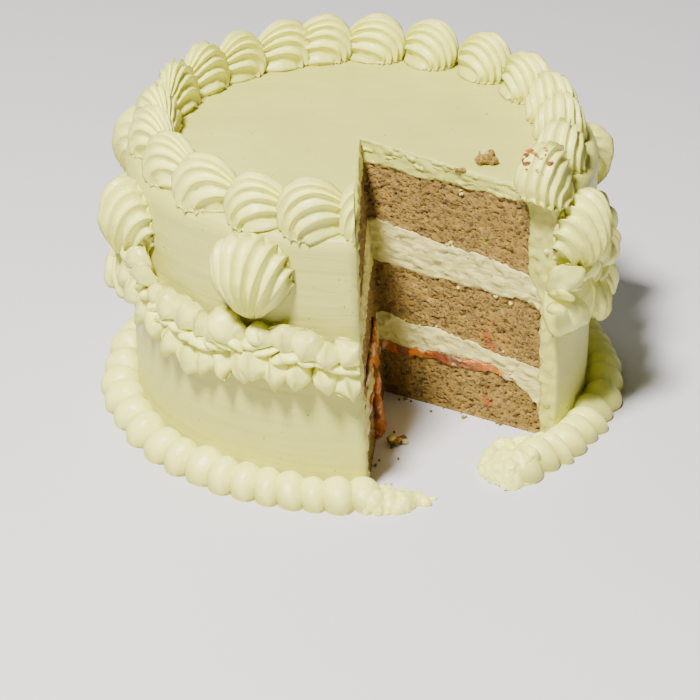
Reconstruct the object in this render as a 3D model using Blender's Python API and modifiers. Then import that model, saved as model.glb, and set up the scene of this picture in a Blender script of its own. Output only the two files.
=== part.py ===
"""Round layer cake with piped shells, a swagged garland of two rows and one slice cut out.

Metres, +Z up. The cake stands on Z = 0 with its axis on the Z axis. The missing slice opens towards -Y
and +X. Azimuths are in degrees, counter-clockwise from +X as seen from above.
"""
import math
import random
from collections import namedtuple

import bmesh
import bpy
from mathutils import Matrix, Vector, noise

# Driving dimensions of the cake
CAKE_RADIUS = 0.082
CAKE_HEIGHT = 0.0946
RIM_ROUND = 0.0045
GAP = 0.0003
TURN_STEPS = 30
WALL = CAKE_RADIUS + GAP

# The two knife cuts lean a little: each corner of the missing slice as (X, Y) at the base and at the top
CUT_CORNER = ((0.0079, -0.0135), (-0.0008, -0.0008))
CUT_LEFT = ((0.0015, -0.0820), (-0.0022, -0.0820))
CUT_RIGHT = ((0.0672, -0.0470), (0.0636, -0.0517))
CUT_REACH = 0.040
CUT_BELOW = -0.010
CUT_ABOVE = 0.130
CUT_LEVELS = 8

# Sponges, bottom to top: foot and crown heights are given at the axis and at the edge
Layer = namedtuple("Layer", "radius foot foot_edge crown crown_edge shoulder shoulder_drop")
SPONGES = {
    "sponge_bottom": Layer(0.0760, 0.0, 0.0, 0.0165, 0.0200, 0.0190, 0.0130),
    "sponge_middle": Layer(0.0760, 0.0308, 0.0265, 0.0500, 0.0524, 0.0030, 0.0025),
    "sponge_top": Layer(0.0710, 0.0655, 0.0628, 0.0862, 0.0904, 0.0040, 0.0030),
}
CROWN_BEND = 0.55
FOOT_BEND = 0.6
SHOULDER_ANGLES = (35, 65, 90)
RIM_ANGLES = (90, 60, 30, 0)
CRUMB_SPACING = 0.0054
CRUMB_DEPTH = 0.0011
CRUMB_SCALE = 260.0
SPREAD_THICKNESS = 0.0034
SPREAD_EDGE = 0.0008
SPREAD_RADIUS = 0.066
SPREAD_BEND = 0.031
SPREAD_TAPER = 0.010
CREAM_FLARE_Z = 0.0542

# Shells round the top, piped counter-clockwise: each head covers the tail of the one before it
TOP_SHELLS = (-86.9, -101.4, -115.8, -131.9, -148.8, -167.4, 175.3, 159.1, 143.4, 129.4,
              114.5, 102.3, 86.9, 70.4, 51.8, 33.3, 15.2, 0.5, -18.1, -35.9)
SHELL_LENGTH = 0.0245
SHELL_WIDTH = 0.0156
SHELL_EXTRA_WIDTH = 0.0030
SHELL_HEIGHT = 0.0150
SHELL_RIDGES = 8
TAIL_INWARD = 14.0
RIM_AZIMUTH = -40.0
RIM_SHIFT = 0.07
RIM_SPREAD = 22.0
SHELL_RINGS = 5
RIDGE_DEPTH = 0.0013
ENVELOPE_RIDGES = 5
HEAD_CLEARANCE = 0.5 * RIDGE_DEPTH + 2 * GAP

# Upright fans on the wall: azimuth and height of the middle of each one that is left, and its relative size
SIDE_SHELLS = ((-157.0, 0.0775, 1.0), (-115.0, 0.0785, 1.0), (-31.0, 0.0780, 0.97), (15.0, 0.0760, 0.78),
               (61.0, 0.0780, 0.95), (111.0, 0.0775, 1.0), (160.0, 0.0780, 0.95))
FAN_LENGTH = 0.0300
FAN_WIDTH = 0.0272
FAN_HEIGHT = 0.0125
FAN_RIDGES = 11
FAN_RINGS = 5
FAN_TAIL = 1.5
SHELL_TAIL = 0.8

# Form of every shell: where it is widest, how high its axis runs there and how much that drops at the tail
WIDEST = 0.36
AXIS_RISE = 0.43
TAIL_DROP = 0.75
UNDER_COLUMNS = 4
FLAT_BELOW = 0.0007

# Height of the groove between the garland's two rows at each fan and, half way on, at the dip after it
SWAGS = ((-157.0, 0.0720, 0.0470), (-115.0, 0.0560, 0.0490), (-72.0, 0.0580, 0.0480), (-31.0, 0.0660, 0.0480),
         (15.0, 0.0600, 0.0480), (61.0, 0.0600, 0.0480), (111.0, 0.0620, 0.0480), (160.0, 0.0660, 0.0480))
SWAG_POWER = 2.6
ROW_GAP = 0.0005
CREASE = 0.42
CUT_SWAGS = (-90.0, -40.0)
FAN_SHADE = 16.0
GARLAND_LOBE = 0.0096

# The two rows: side of the groove, height, how far they stand off, angle left free at a fan, how much of the
# height stays at a crease and is added at a crest, and how much is lost below a fan. Each point of the
# outline is a share of the stand-off, a share of the height and a slant in degrees.
Row = namedtuple("Row", "name side height stand_off margin steady swell shrink outline")
ROWS = (
    Row("garland_upper", 1, 0.0085, 0.0065, 2.2, 0.85, 0.20, 0.0,
        ((0.0, 0.0, -1.2), (0.7, 0.12, -1.0), (1.0, 0.5, 0.0), (0.6, 0.88, 1.0), (0.0, 1.0, 1.2))),
    Row("garland_lower", -1, 0.0115, 0.0080, 1.0, 0.72, 0.30, 0.22,
        ((0.0, 0.0, 0.8), (0.7, 0.13, 0.6), (1.0, 0.62, 0.0), (0.55, 1.0, -0.6), (0.0, 0.85, -0.8))),
)

# Beads round the foot: the row stops at the left cut, and runs past the right one as a smear
BORDER_RADIUS = 0.0950
BORDER_HEIGHT = 0.0085
BEAD_PITCH = 0.0102
BORDER_START = -61.5
BORDER_END = 270.6
SMEAR_END = -39.3
SMEAR_REACH = 0.0125
SCRAP_START = -88.4
SCRAP_END = -75.5
SCRAP_HEIGHT = 0.0055
SCRAP_BEADS = 3

# Outline of a bead: share of the way out from the wall, share of the height, slant in degrees
BEAD_OUTLINE = ((0.0, 0.0, 1.5), (0.9, 0.0, -1.5), (1.0, 0.35, -1.5), (0.55, 1.0, 0.5), (0.0, 0.62, 1.5))
BEAD_CREASE = 0.86
BEAD_CREASE_HEIGHT = 0.70

BUTTERCREAM = ((0.82, 0.80, 0.52), 0.42)
FILLING = ((0.84, 0.81, 0.62), 0.45)
SPONGE = ((0.50, 0.33, 0.17), 0.90)
SPREAD = ((0.55, 0.13, 0.03), 0.35)
LOOKS = {"sponge": SPONGE, "fruit": SPREAD, "cream": FILLING}


def clear_scene():
    """Remove what a new file holds."""
    for ob in list(bpy.data.objects):
        bpy.data.objects.remove(ob, do_unlink=True)


def new_collection(name):
    """Add a collection to the scene."""
    collection = bpy.data.collections.new(name)
    bpy.context.scene.collection.children.link(collection)
    return collection


def surface(name, look):
    """Make a Principled material from a colour and a roughness."""
    colour, roughness = look
    material = bpy.data.materials.new(name + "_surface")
    material.use_nodes = True
    shader = material.node_tree.nodes["Principled BSDF"]
    shader.inputs["Base Color"].default_value = (*colour, 1.0)
    shader.inputs["Roughness"].default_value = roughness
    shader.inputs["Metallic"].default_value = 0.0
    return material


def add_part(name, mesh, collection):
    """Link a mesh as a named part."""
    ob = bpy.data.objects.new(name, mesh)
    collection.objects.link(ob)
    return ob


def coat(ob):
    """Give a finished part its own material, chosen by the first word of its name."""
    look = LOOKS.get(ob.name.split("_")[0], BUTTERCREAM)
    ob.data.materials.clear()
    ob.data.materials.append(surface(ob.name, look))


def add_cutter(name, mesh, collection):
    """Link a mesh as a hidden cutter."""
    ob = bpy.data.objects.new(name, mesh)
    ob.hide_render = True
    ob.display_type = "WIRE"
    collection.objects.link(ob)
    return ob


def mesh_from(name, bm):
    """Turn a bmesh into a triangulated mesh."""
    bmesh.ops.triangulate(bm, faces=bm.faces[:])
    mesh = bpy.data.meshes.new(name)
    bm.to_mesh(mesh)
    bm.free()
    mesh.shade_smooth()
    mesh.set_sharp_from_angle(angle=math.radians(40))
    return mesh


def apply_modifiers(ob):
    """Bake the object's modifiers into its mesh."""
    bpy.context.view_layer.update()
    evaluated = ob.evaluated_get(bpy.context.evaluated_depsgraph_get())
    mesh = bpy.data.meshes.new_from_object(evaluated)
    ob.modifiers.clear()
    ob.data = mesh


def subtract(ob, cutter):
    """Cut one solid out of another."""
    boolean = ob.modifiers.new("cut", "BOOLEAN")
    boolean.operation = "DIFFERENCE"
    boolean.solver = "EXACT"
    boolean.object = cutter
    apply_modifiers(ob)


def keep_largest(ob):
    """Drop the loose scraps that a cut leaves."""
    bm = bmesh.new()
    bm.from_mesh(ob.data)
    unseen = set(bm.verts)
    islands = []
    while unseen:
        reached = {unseen.pop()}
        queue = list(reached)
        while queue:
            vert = queue.pop()
            for edge in vert.link_edges:
                other = edge.other_vert(vert)
                if other in unseen:
                    unseen.discard(other)
                    reached.add(other)
                    queue.append(other)
        islands.append(reached)
    largest = max(islands, key=len)
    loose = [vert for vert in bm.verts if vert not in largest]
    bmesh.ops.delete(bm, geom=loose, context="VERTS")
    bm.to_mesh(ob.data)
    bm.free()


def polar(azimuth, radius, z):
    """Point at an azimuth in degrees, a radius and a height."""
    angle = math.radians(azimuth)
    return Vector((radius * math.cos(angle), radius * math.sin(angle), z))


def smoothstep(value):
    """Ease from 0 to 1."""
    t = min(max(value, 0.0), 1.0)
    return t * t * (3 - 2 * t)


def loft(name, sections):
    """Join closed sections of as many points each into a solid with flat ends."""
    bm = bmesh.new()
    rings = [[bm.verts.new(point) for point in section] for section in sections]
    count = len(rings[0])
    for ring, following in zip(rings, rings[1:]):
        for i in range(count):
            j = (i + 1) % count
            bm.faces.new((ring[i], ring[j], following[j], following[i]))
    bm.faces.new(rings[0])
    bm.faces.new(rings[-1])
    bmesh.ops.recalc_face_normals(bm, faces=bm.faces[:])
    return mesh_from(name, bm)


def cut_at(corner, z):
    """A corner of the missing slice at a height, as the cuts lean."""
    base, top = corner
    return Vector(base).lerp(Vector(top), z / CAKE_HEIGHT)


def slice_outline(z):
    """Outline of the missing slice at a height, run out past the piping."""
    corner = cut_at(CUT_CORNER, z)
    left = cut_at(CUT_LEFT, z)
    right = cut_at(CUT_RIGHT, z)
    left += (left - corner).normalized() * CUT_REACH
    right += (right - corner).normalized() * CUT_REACH
    return [point.to_3d() + Vector((0, 0, z)) for point in (corner, left, right)]


def make_slice_cutter(collection):
    """The missing slice as a leaning wedge."""
    span = CUT_ABOVE - CUT_BELOW
    levels = [CUT_BELOW + span * i / CUT_LEVELS for i in range(CUT_LEVELS + 1)]
    return add_cutter("missing_slice", loft("missing_slice", [slice_outline(z) for z in levels]), collection)


def turned(name, profile, collection):
    """Turn a profile of (radius, height) pairs, given top to bottom on its outer side, into a solid."""
    mesh = bpy.data.meshes.new(name)
    edges = [(i, i + 1) for i in range(len(profile) - 1)]
    mesh.from_pydata([(radius, 0.0, z) for radius, z in profile], edges, [])
    ob = add_part(name, mesh, collection)
    screw = ob.modifiers.new("turn", "SCREW")
    screw.steps = TURN_STEPS
    screw.render_steps = TURN_STEPS
    screw.use_merge_vertices = True
    screw.merge_threshold = 0.00001
    apply_modifiers(ob)
    return ob


def top_at(layer, radius):
    """Height of a sponge's upper side at a radius, with its rounded shoulder."""
    flat = layer.radius - layer.shoulder
    z = layer.crown + (layer.crown_edge - layer.crown) * min(radius / flat, 1.0) ** 2
    if radius > flat:
        t = min((radius - flat) / layer.shoulder, 1.0)
        z -= layer.shoulder_drop * (1 - math.sqrt(1 - t * t))
    return z


def foot_at(layer, radius):
    """Height of a sponge's lower side at a radius, sagging towards its edge."""
    return layer.foot + (layer.foot_edge - layer.foot) * (radius / layer.radius) ** 3


def sample_radii(layer):
    """Radii at which a layer's upper side bends."""
    flat = layer.radius - layer.shoulder
    bends = [0.0, CROWN_BEND * flat, flat]
    return bends + [flat + layer.shoulder * math.sin(math.radians(angle)) for angle in SHOULDER_ANGLES]


def foot_radii(layer):
    """Radii at which a sagging lower side bends."""
    return [0.0] if layer.foot == layer.foot_edge else [0.0, FOOT_BEND * layer.radius]


def sponge_profile(layer):
    """Outline of one sponge."""
    profile = [(radius, top_at(layer, radius)) for radius in sample_radii(layer)]
    profile.append((layer.radius, foot_at(layer, layer.radius)))
    return profile + [(radius, foot_at(layer, radius)) for radius in reversed(foot_radii(layer))]


def spread_top(radius):
    """Height of the fruit spread on the bottom sponge, which thins out towards its edge."""
    thin = smoothstep((radius - SPREAD_RADIUS + SPREAD_TAPER) / SPREAD_TAPER)
    thickness = SPREAD_THICKNESS + (SPREAD_EDGE - SPREAD_THICKNESS) * thin
    return top_at(SPONGES["sponge_bottom"], radius) + GAP + thickness


def spread_profile():
    """Outline of the fruit spread."""
    bottom = SPONGES["sponge_bottom"]
    radii = [0.0, SPREAD_BEND, bottom.radius - bottom.shoulder, SPREAD_RADIUS]
    upper = [(radius, spread_top(radius)) for radius in radii]
    return upper + [(radius, top_at(bottom, radius) + GAP) for radius in reversed(radii)]


def lower_cream_profile():
    """Outline of the cream on the spread, which also wraps the bottom sponge's shoulder."""
    bottom = SPONGES["sponge_bottom"]
    middle = SPONGES["sponge_middle"]
    shoulder = bottom._replace(crown_edge=bottom.crown_edge + GAP)
    upper = [(radius, foot_at(middle, radius) - GAP) for radius in (*foot_radii(middle), middle.radius)]
    wrap = [radius for radius in sample_radii(bottom) if radius > SPREAD_RADIUS]
    lower = [(radius, top_at(shoulder, radius) + GAP) for radius in reversed(wrap)]
    lower.append((SPREAD_RADIUS + GAP, top_at(shoulder, SPREAD_RADIUS + GAP) + GAP))
    on_spread = (SPREAD_RADIUS + GAP, bottom.radius - bottom.shoulder, SPREAD_BEND, 0.0)
    return upper + lower + [(radius, spread_top(radius) + GAP) for radius in on_spread]


def upper_cream_profile():
    """Outline of the cream between the middle and top sponges, flaring down past the narrower top one."""
    middle = SPONGES["sponge_middle"]
    top = SPONGES["sponge_top"]
    upper = [(radius, foot_at(top, radius) - GAP) for radius in (*foot_radii(top), top.radius)]
    upper.append((middle.radius, CREAM_FLARE_Z))
    return upper + [(radius, top_at(middle, radius) + GAP) for radius in reversed(sample_radii(middle))]


def icing_profile():
    """Outline of the icing: flat top, rounded rim, wall, and the inside that holds the layers."""
    top = SPONGES["sponge_top"]
    inner = top._replace(radius=top.radius + GAP, crown=top.crown + GAP, crown_edge=top.crown_edge + GAP)
    inside = SPONGES["sponge_middle"].radius + GAP
    profile = [(0.0, CAKE_HEIGHT)]
    for angle in RIM_ANGLES:
        turn = math.radians(angle)
        rim = CAKE_RADIUS - RIM_ROUND * (1 - math.cos(turn))
        profile.append((rim, CAKE_HEIGHT - RIM_ROUND * (1 - math.sin(turn))))
    profile += [(CAKE_RADIUS, 0.0), (inside, 0.0), (inside, CREAM_FLARE_Z + GAP)]
    profile.append((inner.radius, foot_at(top, top.radius) + GAP))
    return profile + [(radius, top_at(inner, radius)) for radius in reversed(sample_radii(inner))]


def cut_faces(bm, edge_corner):
    """Faces of a layer that lie on one of the two knife cuts."""
    found = []
    for face in bm.faces:
        centre = face.calc_center_median()
        corner = cut_at(CUT_CORNER, centre.z)
        along = (cut_at(edge_corner, centre.z) - corner).normalized()
        offset = centre.to_2d() - corner
        across = abs(along.x * offset.y - along.y * offset.x)
        if across < GAP and abs(face.normal.z) < 0.5:
            found.append(face)
    return found


def crumble(ob, edge_corner):
    """Split a cut face into a grid and push its inner points in unevenly, as open crumb."""
    bm = bmesh.new()
    bm.from_mesh(ob.data)
    along = (cut_at(edge_corner, 0.0) - cut_at(CUT_CORNER, 0.0)).normalized().to_3d()
    steps = int(CAKE_RADIUS / CRUMB_SPACING) + 1
    planes = [(along * CRUMB_SPACING * i, along) for i in range(1, steps)]
    up = Vector((0, 0, 1))
    planes += [(up * CRUMB_SPACING * (i + 0.5), up) for i in range(int(CAKE_HEIGHT / CRUMB_SPACING))]
    for point, normal in planes:
        faces = cut_faces(bm, edge_corner)
        edges = {edge for face in faces for edge in face.edges}
        verts = {vert for face in faces for vert in face.verts}
        geometry = faces + list(edges) + list(verts)
        bmesh.ops.bisect_plane(bm, geom=geometry, dist=0.00001, plane_co=point, plane_no=normal)
    faces = set(cut_faces(bm, edge_corner))
    inner = [vert for vert in bm.verts if all(face in faces for face in vert.link_faces)]
    moves = [(vert, vert.normal.copy()) for vert in inner]
    for vert, normal in moves:
        depth = 0.5 + 0.5 * noise.noise(vert.co * CRUMB_SCALE)
        vert.co -= normal * CRUMB_DEPTH * depth
    ob.data = mesh_from(ob.name, bm)


def make_layers(cutter, collection):
    """Sponges, fruit spread, two creams and the icing round them, all cut by the knife."""
    for name, layer in SPONGES.items():
        ob = turned(name, sponge_profile(layer), collection)
        subtract(ob, cutter)
        crumble(ob, CUT_LEFT)
        crumble(ob, CUT_RIGHT)
    fillings = (("fruit_spread", spread_profile()), ("cream_lower", lower_cream_profile()),
                ("cream_upper", upper_cream_profile()), ("icing", icing_profile()))
    for name, profile in fillings:
        subtract(turned(name, profile, collection), cutter)


def belly(along, tail_power):
    """Half width of a piped shell, from 0 at its head, over 1 at its widest, to 0 at its tail."""
    if along < WIDEST:
        return math.sqrt(max(0.0, 1 - ((WIDEST - along) / WIDEST) ** 2))
    t = (along - WIDEST) / (1 - WIDEST)
    return (1 - t * t) ** tail_power


def column_turn(column, over):
    """Angle of a column of points round a shell's axis: most run over the top, a few under the flat base."""
    if column <= over:
        return math.pi * column / over
    return math.pi * (1 + (column - over) / UNDER_COLUMNS)


def shell_mesh(name, place, size, ridges, rings, tail_power, grow=0.0):
    """Ridged shell on a surface: head at -X, tail at +X, the surface at Z = 0. A grown one has no ridges."""
    length, width, height = size
    over = 2 * ridges
    columns = over + UNDER_COLUMNS
    axis_height = AXIS_RISE * height
    ridge = 0.0 if grow > GAP else RIDGE_DEPTH / width
    bm = bmesh.new()
    bmesh.ops.create_uvsphere(bm, u_segments=columns, v_segments=rings, radius=1.0)
    for vert in bm.verts:
        along = 0.5 - 0.5 * vert.co.z
        column = round(math.atan2(vert.co.y, vert.co.x) / math.tau * columns) % columns
        turn = column_turn(column, over)
        half = belly(along, tail_power)
        crest = 0.0 if column > over else ridge * (1 if column % 2 else -1)
        bulge = half + crest * math.sqrt(half)
        tail = max(0.0, (along - WIDEST) / (1 - WIDEST))
        middle = axis_height * (1 - TAIL_DROP * tail * tail)
        y = (bulge * width / 2 + grow) * math.cos(turn)
        z = middle + (bulge * (height - axis_height) + grow) * math.sin(turn)
        vert.co = Vector(((along - 0.5) * (length + 2 * grow), y, -grow if z < FLAT_BELOW else z))
    bmesh.ops.transform(bm, matrix=place, verts=bm.verts[:])
    bmesh.ops.recalc_face_normals(bm, faces=bm.faces[:])
    return mesh_from(name, bm)


def ring_radius(azimuth):
    """Radius at which a top shell lies: the ring is a little oval, and reaches the rim by the right cut."""
    angle = math.radians(azimuth)
    oval = 0.85 + 0.055 * math.sin(angle) ** 2 - 0.015 * math.cos(angle)
    towards_rim = RIM_SHIFT * math.exp(-((azimuth - RIM_AZIMUTH) / RIM_SPREAD) ** 2)
    return CAKE_RADIUS * (oval + towards_rim)


def top_shell_sizes():
    """Place and size of each shell round the top, seeded so that they differ as piped ones do."""
    shells = []
    for index, azimuth in enumerate(TOP_SHELLS):
        chance = random.Random(100 + index)
        angle = math.radians(azimuth)
        radius = ring_radius(azimuth)
        wider = SHELL_EXTRA_WIDTH * max(0.0, math.cos(angle))
        size = [SHELL_LENGTH, SHELL_WIDTH + wider, SHELL_HEIGHT]
        size = [value * chance.uniform(0.95, 1.05) for value in size]
        inward = 90 + TAIL_INWARD * max(0.0, -math.cos(angle)) + chance.uniform(-5, 5)
        turn = Matrix.Rotation(math.radians(azimuth + inward), 4, "Z")
        place = Matrix.Translation(polar(azimuth, radius, CAKE_HEIGHT + GAP)) @ turn
        shells.append((place, size))
    return shells


def make_top_shells(cutter, parts, cutters):
    """Shells round the top, each tail tucked under the next head, the first and last cut by the knife."""
    shells = top_shell_sizes()
    for index, (place, size) in enumerate(shells):
        name = f"top_shell_{index + 1:02d}"
        ob = add_part(name, shell_mesh(name, place, size, SHELL_RIDGES, SHELL_RINGS, SHELL_TAIL), parts)
        if index > 0:
            head_name = "head_over_" + name
            before = shells[index - 1]
            head = shell_mesh(head_name, *before, ENVELOPE_RIDGES, SHELL_RINGS, SHELL_TAIL, HEAD_CLEARANCE)
            subtract(ob, add_cutter(head_name, head, cutters))
        if index in (0, len(shells) - 1):
            subtract(ob, cutter)
        keep_largest(ob)


def fan_place(azimuth, middle, lean):
    """Frame of an upright fan: X runs down the wall, Z points outwards."""
    angle = math.radians(azimuth)
    out = Vector((math.cos(angle), math.sin(angle), 0))
    down = Vector((0, 0, -1))
    frame = Matrix((down, out.cross(down), out)).transposed().to_4x4()
    return Matrix.Translation(polar(azimuth, WALL, middle)) @ frame @ Matrix.Rotation(lean, 4, "Z")


def hug_wall(mesh, azimuth):
    """Bend a piece made on the plane that touches the wall, so that its flat back fits the wall."""
    out = polar(azimuth, 1.0, 0.0).to_2d()
    for vert in mesh.vertices:
        flat = vert.co.to_2d()
        radius = flat.length
        bent = radius - WALL * (radius / flat.dot(out) - 1)
        vert.co.x *= bent / radius
        vert.co.y *= bent / radius


def near(ob, start, end):
    """True where a fan's keeper stands at one of a swag's two ends."""
    centre = sum((vert.co for vert in ob.data.vertices), Vector()) / len(ob.data.vertices)
    azimuth = math.degrees(math.atan2(centre.y, centre.x))
    return min(abs((azimuth - limit + 180) % 360 - 180) for limit in (start, end)) < 5


def make_side_shells(parts, cutters):
    """Upright fans on the wall, and a slightly larger copy of each to keep the garland clear."""
    keepers = []
    for index, (azimuth, middle, scale) in enumerate(SIDE_SHELLS):
        chance = random.Random(300 + index)
        place = fan_place(azimuth, middle, chance.uniform(-0.1, 0.1))
        size = [value * scale * chance.uniform(0.97, 1.03) for value in (FAN_LENGTH, FAN_WIDTH, FAN_HEIGHT)]
        name = f"side_shell_{index + 1}"
        mesh = shell_mesh(name, place, size, FAN_RIDGES, FAN_RINGS, FAN_TAIL)
        hug_wall(mesh, azimuth)
        add_part(name, mesh, parts)
        larger = shell_mesh("clear_of_" + name, place, size, FAN_RIDGES, FAN_RINGS, FAN_TAIL, GAP)
        hug_wall(larger, azimuth)
        keepers.append(add_cutter("clear_of_" + name, larger, cutters))
    return keepers


def groove_height(azimuth):
    """Height of the groove between the garland's rows, high at each fan and low between fans."""
    count = len(SWAGS)
    for index, (start, peak, dip) in enumerate(SWAGS):
        end, following, _ = SWAGS[(index + 1) % count]
        span = (end - start) % 360
        t = ((azimuth - start) % 360) / span
        if t <= 1:
            return dip + (peak - dip) * (1 - t) ** SWAG_POWER + (following - dip) * t ** SWAG_POWER
    return SWAGS[0][1]


def near_fan(azimuth):
    """1 at a fan and 0 half way to the next."""
    nearest = min(abs((azimuth - start + 180) % 360 - 180) for start, _, _ in SWAGS)
    return 1 - smoothstep(nearest / FAN_SHADE)


def garland_stations(first, last, seed):
    """Azimuths of a stroke's creases and crests, closer where it is steep, with how far each stands off."""
    chance = random.Random(500 + seed)
    creases = [first]
    while creases[-1] < last:
        azimuth = creases[-1]
        slope = (groove_height(azimuth + 1) - groove_height(azimuth)) / (CAKE_RADIUS * math.radians(1))
        lobe = GARLAND_LOBE * chance.uniform(0.85, 1.15)
        creases.append(azimuth + math.degrees(lobe / CAKE_RADIUS) / math.hypot(1, slope))
    fit = (last - first) / (creases[-1] - first)
    creases = [first + (azimuth - first) * fit for azimuth in creases]
    stations = [(first, CREASE)]
    for azimuth, following in zip(creases, creases[1:]):
        stations.append((0.5 * (azimuth + following), chance.uniform(0.8, 1.15)))
        stations.append((following, CREASE))
    return stations


def row_section(row, azimuth, bulge):
    """Section of one of the garland's rows: a rope of slanting lumps above the groove, or petals below it."""
    height = row.height * (1 - row.shrink * near_fan(azimuth)) * (row.steady + row.swell * bulge)
    section = []
    for share_out, share_up, slant in row.outline:
        z = groove_height(azimuth + slant) + row.side * (ROW_GAP + share_up * height)
        section.append(polar(azimuth + slant, WALL + share_out * row.stand_off * bulge, z))
    return section


def make_garland(cutter, keepers, parts):
    """Each swag's two strokes, kept clear of the fans, and cut by the knife where the slice is missing."""
    for index, (start, _, _) in enumerate(SWAGS):
        end = SWAGS[(index + 1) % len(SWAGS)][0]
        end += 360 if end < start else 0
        for row in ROWS:
            name = f"{row.name}_{index + 1}"
            stations = garland_stations(start + row.margin, end - row.margin, index)
            ob = add_part(name, loft(name, [row_section(row, *station) for station in stations]), parts)
            for keeper in keepers:
                if near(keeper, start, end):
                    subtract(ob, keeper)
            if start <= CUT_SWAGS[1] and end >= CUT_SWAGS[0]:
                subtract(ob, cutter)
            keep_largest(ob)


def bead_section(azimuth, bulge, inner, height):
    """Section of the bead row at the foot, flat below and leaning on the wall, with slanting creases."""
    reach = (BORDER_RADIUS - inner) * (BEAD_CREASE + (1 - BEAD_CREASE) * bulge)
    top = height * (BEAD_CREASE_HEIGHT + (1 - BEAD_CREASE_HEIGHT) * bulge)
    return [polar(azimuth + slant, inner + share_out * reach, share_up * top)
            for share_out, share_up, slant in BEAD_OUTLINE]


def smear_inner(azimuth):
    """Inner radius of the bead row: at the wall, or reaching in where it is smeared past the right cut."""
    past = (SMEAR_END - azimuth) / (SMEAR_END - BORDER_START)
    if past <= 0:
        return WALL
    return WALL - SMEAR_REACH * math.sin(math.pi * min(past * 1.15, 1.0)) ** 0.6


def bead_row(name, start, end, beads, inner_at, height, seed):
    """Loft a row of beads of uneven size between two azimuths."""
    chance = random.Random(seed)
    sections = []
    for index in range(2 * beads + 1):
        azimuth = start + (end - start) * index / (2 * beads)
        bulge = chance.uniform(0.85, 1.1) if index % 2 else 0.0
        sections.append(bead_section(azimuth, bulge, inner_at(azimuth), height))
    return loft(name, sections)


def make_border(parts):
    """Beads round the foot, and the squashed scrap of them in front of the missing slice."""
    beads = round((BORDER_END - BORDER_START) / math.degrees(BEAD_PITCH / BORDER_RADIUS))
    row = bead_row("base_border", BORDER_START, BORDER_END, beads, smear_inner, BORDER_HEIGHT, 7)
    add_part("base_border", row, parts)
    name = "base_border_scrap"
    scrap = bead_row(name, SCRAP_START, SCRAP_END, SCRAP_BEADS, lambda _: WALL, SCRAP_HEIGHT, 8)
    add_part(name, scrap, parts)


def main():
    """Build the cake."""
    clear_scene()
    parts = new_collection("layer_cake")
    cutters = new_collection("cutters")
    cutter = make_slice_cutter(cutters)
    make_layers(cutter, parts)
    make_top_shells(cutter, parts, cutters)
    keepers = make_side_shells(parts, cutters)
    make_garland(cutter, keepers, parts)
    make_border(parts)
    for ob in parts.objects:
        coat(ob)


main()
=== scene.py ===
"""Round layer cake in piped buttercream: its looks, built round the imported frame."""

import math
import random

import bmesh
import bpy
import numpy as np
from mathutils import Matrix, Vector, noise


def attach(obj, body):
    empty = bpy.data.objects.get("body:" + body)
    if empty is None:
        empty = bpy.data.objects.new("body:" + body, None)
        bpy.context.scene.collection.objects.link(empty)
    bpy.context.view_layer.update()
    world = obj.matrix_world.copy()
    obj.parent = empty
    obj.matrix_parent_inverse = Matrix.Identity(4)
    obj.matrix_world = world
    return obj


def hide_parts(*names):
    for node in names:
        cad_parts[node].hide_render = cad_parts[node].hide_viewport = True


bl_info = {
    "name": "Piped Layer Cake",
    "version": (1, 0, 0),
    "blender": (4, 5, 0),
    "location": "3D View > Sidebar > Layer Cake",
    "description": "Builds a round layer cake with piped shells, a garland and one slice cut out",
    "category": "Add Mesh",
}

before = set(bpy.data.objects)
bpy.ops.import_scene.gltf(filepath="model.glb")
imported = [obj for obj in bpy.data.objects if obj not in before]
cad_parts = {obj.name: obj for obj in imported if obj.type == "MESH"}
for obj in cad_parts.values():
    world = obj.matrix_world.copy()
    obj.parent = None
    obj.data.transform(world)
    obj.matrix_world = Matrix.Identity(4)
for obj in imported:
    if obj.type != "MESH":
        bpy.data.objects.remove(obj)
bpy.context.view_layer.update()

# The cake, its missing slice and its layers, as in the solids
CAKE_RADIUS = 0.082
CAKE_HEIGHT = 0.0946
RIM_ROUND = 0.0045
GAP = 0.0003
WALL = CAKE_RADIUS + GAP
WELD = 0.00002
CUT_CORNER = ((0.0079, -0.0135), (-0.0008, -0.0008))
CUT_LEFT = ((0.0015, -0.082), (-0.0022, -0.082))
CUT_RIGHT = ((0.0672, -0.047), (0.0636, -0.0517))

# A point in the gap, and the azimuths where the garland stops and starts again
IN_GAP = (0.045, -0.065)
GARLAND_STOPS = -88.5
GARLAND_RETURNS = -40.0


class Layer:
    """One sponge: heights of its foot and crown at the axis and at the edge, and its rounded shoulder."""

    def __init__(self, radius, foot, foot_edge, crown, crown_edge, shoulder, shoulder_drop):
        self.radius, self.foot, self.foot_edge = radius, foot, foot_edge
        self.crown, self.crown_edge = crown, crown_edge
        self.shoulder, self.shoulder_drop = shoulder, shoulder_drop

    def top(self, radius):
        """Height of the upper side."""
        flat = self.radius - self.shoulder
        z = self.crown + (self.crown_edge - self.crown) * np.minimum(radius / flat, 1.0) ** 2
        past = np.clip((radius - flat) / self.shoulder, 0.0, 1.0)
        return z - self.shoulder_drop * (1 - np.sqrt(1 - past * past))

    def under(self, radius):
        """Height of the lower side."""
        return self.foot + (self.foot_edge - self.foot) * (radius / self.radius) ** 3


BOTTOM = Layer(0.076, 0.0, 0.0, 0.0165, 0.02, 0.019, 0.013)
MIDDLE = Layer(0.076, 0.0308, 0.0265, 0.05, 0.0524, 0.003, 0.0025)
TOP = Layer(0.071, 0.0655, 0.0628, 0.0862, 0.0904, 0.004, 0.003)
SPREAD_THICKNESS = 0.0034
SPREAD_EDGE = 0.0008
SPREAD_RADIUS = 0.066
SPREAD_TAPER = 0.01
CREAM_FLARE_Z = 0.0542

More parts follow.
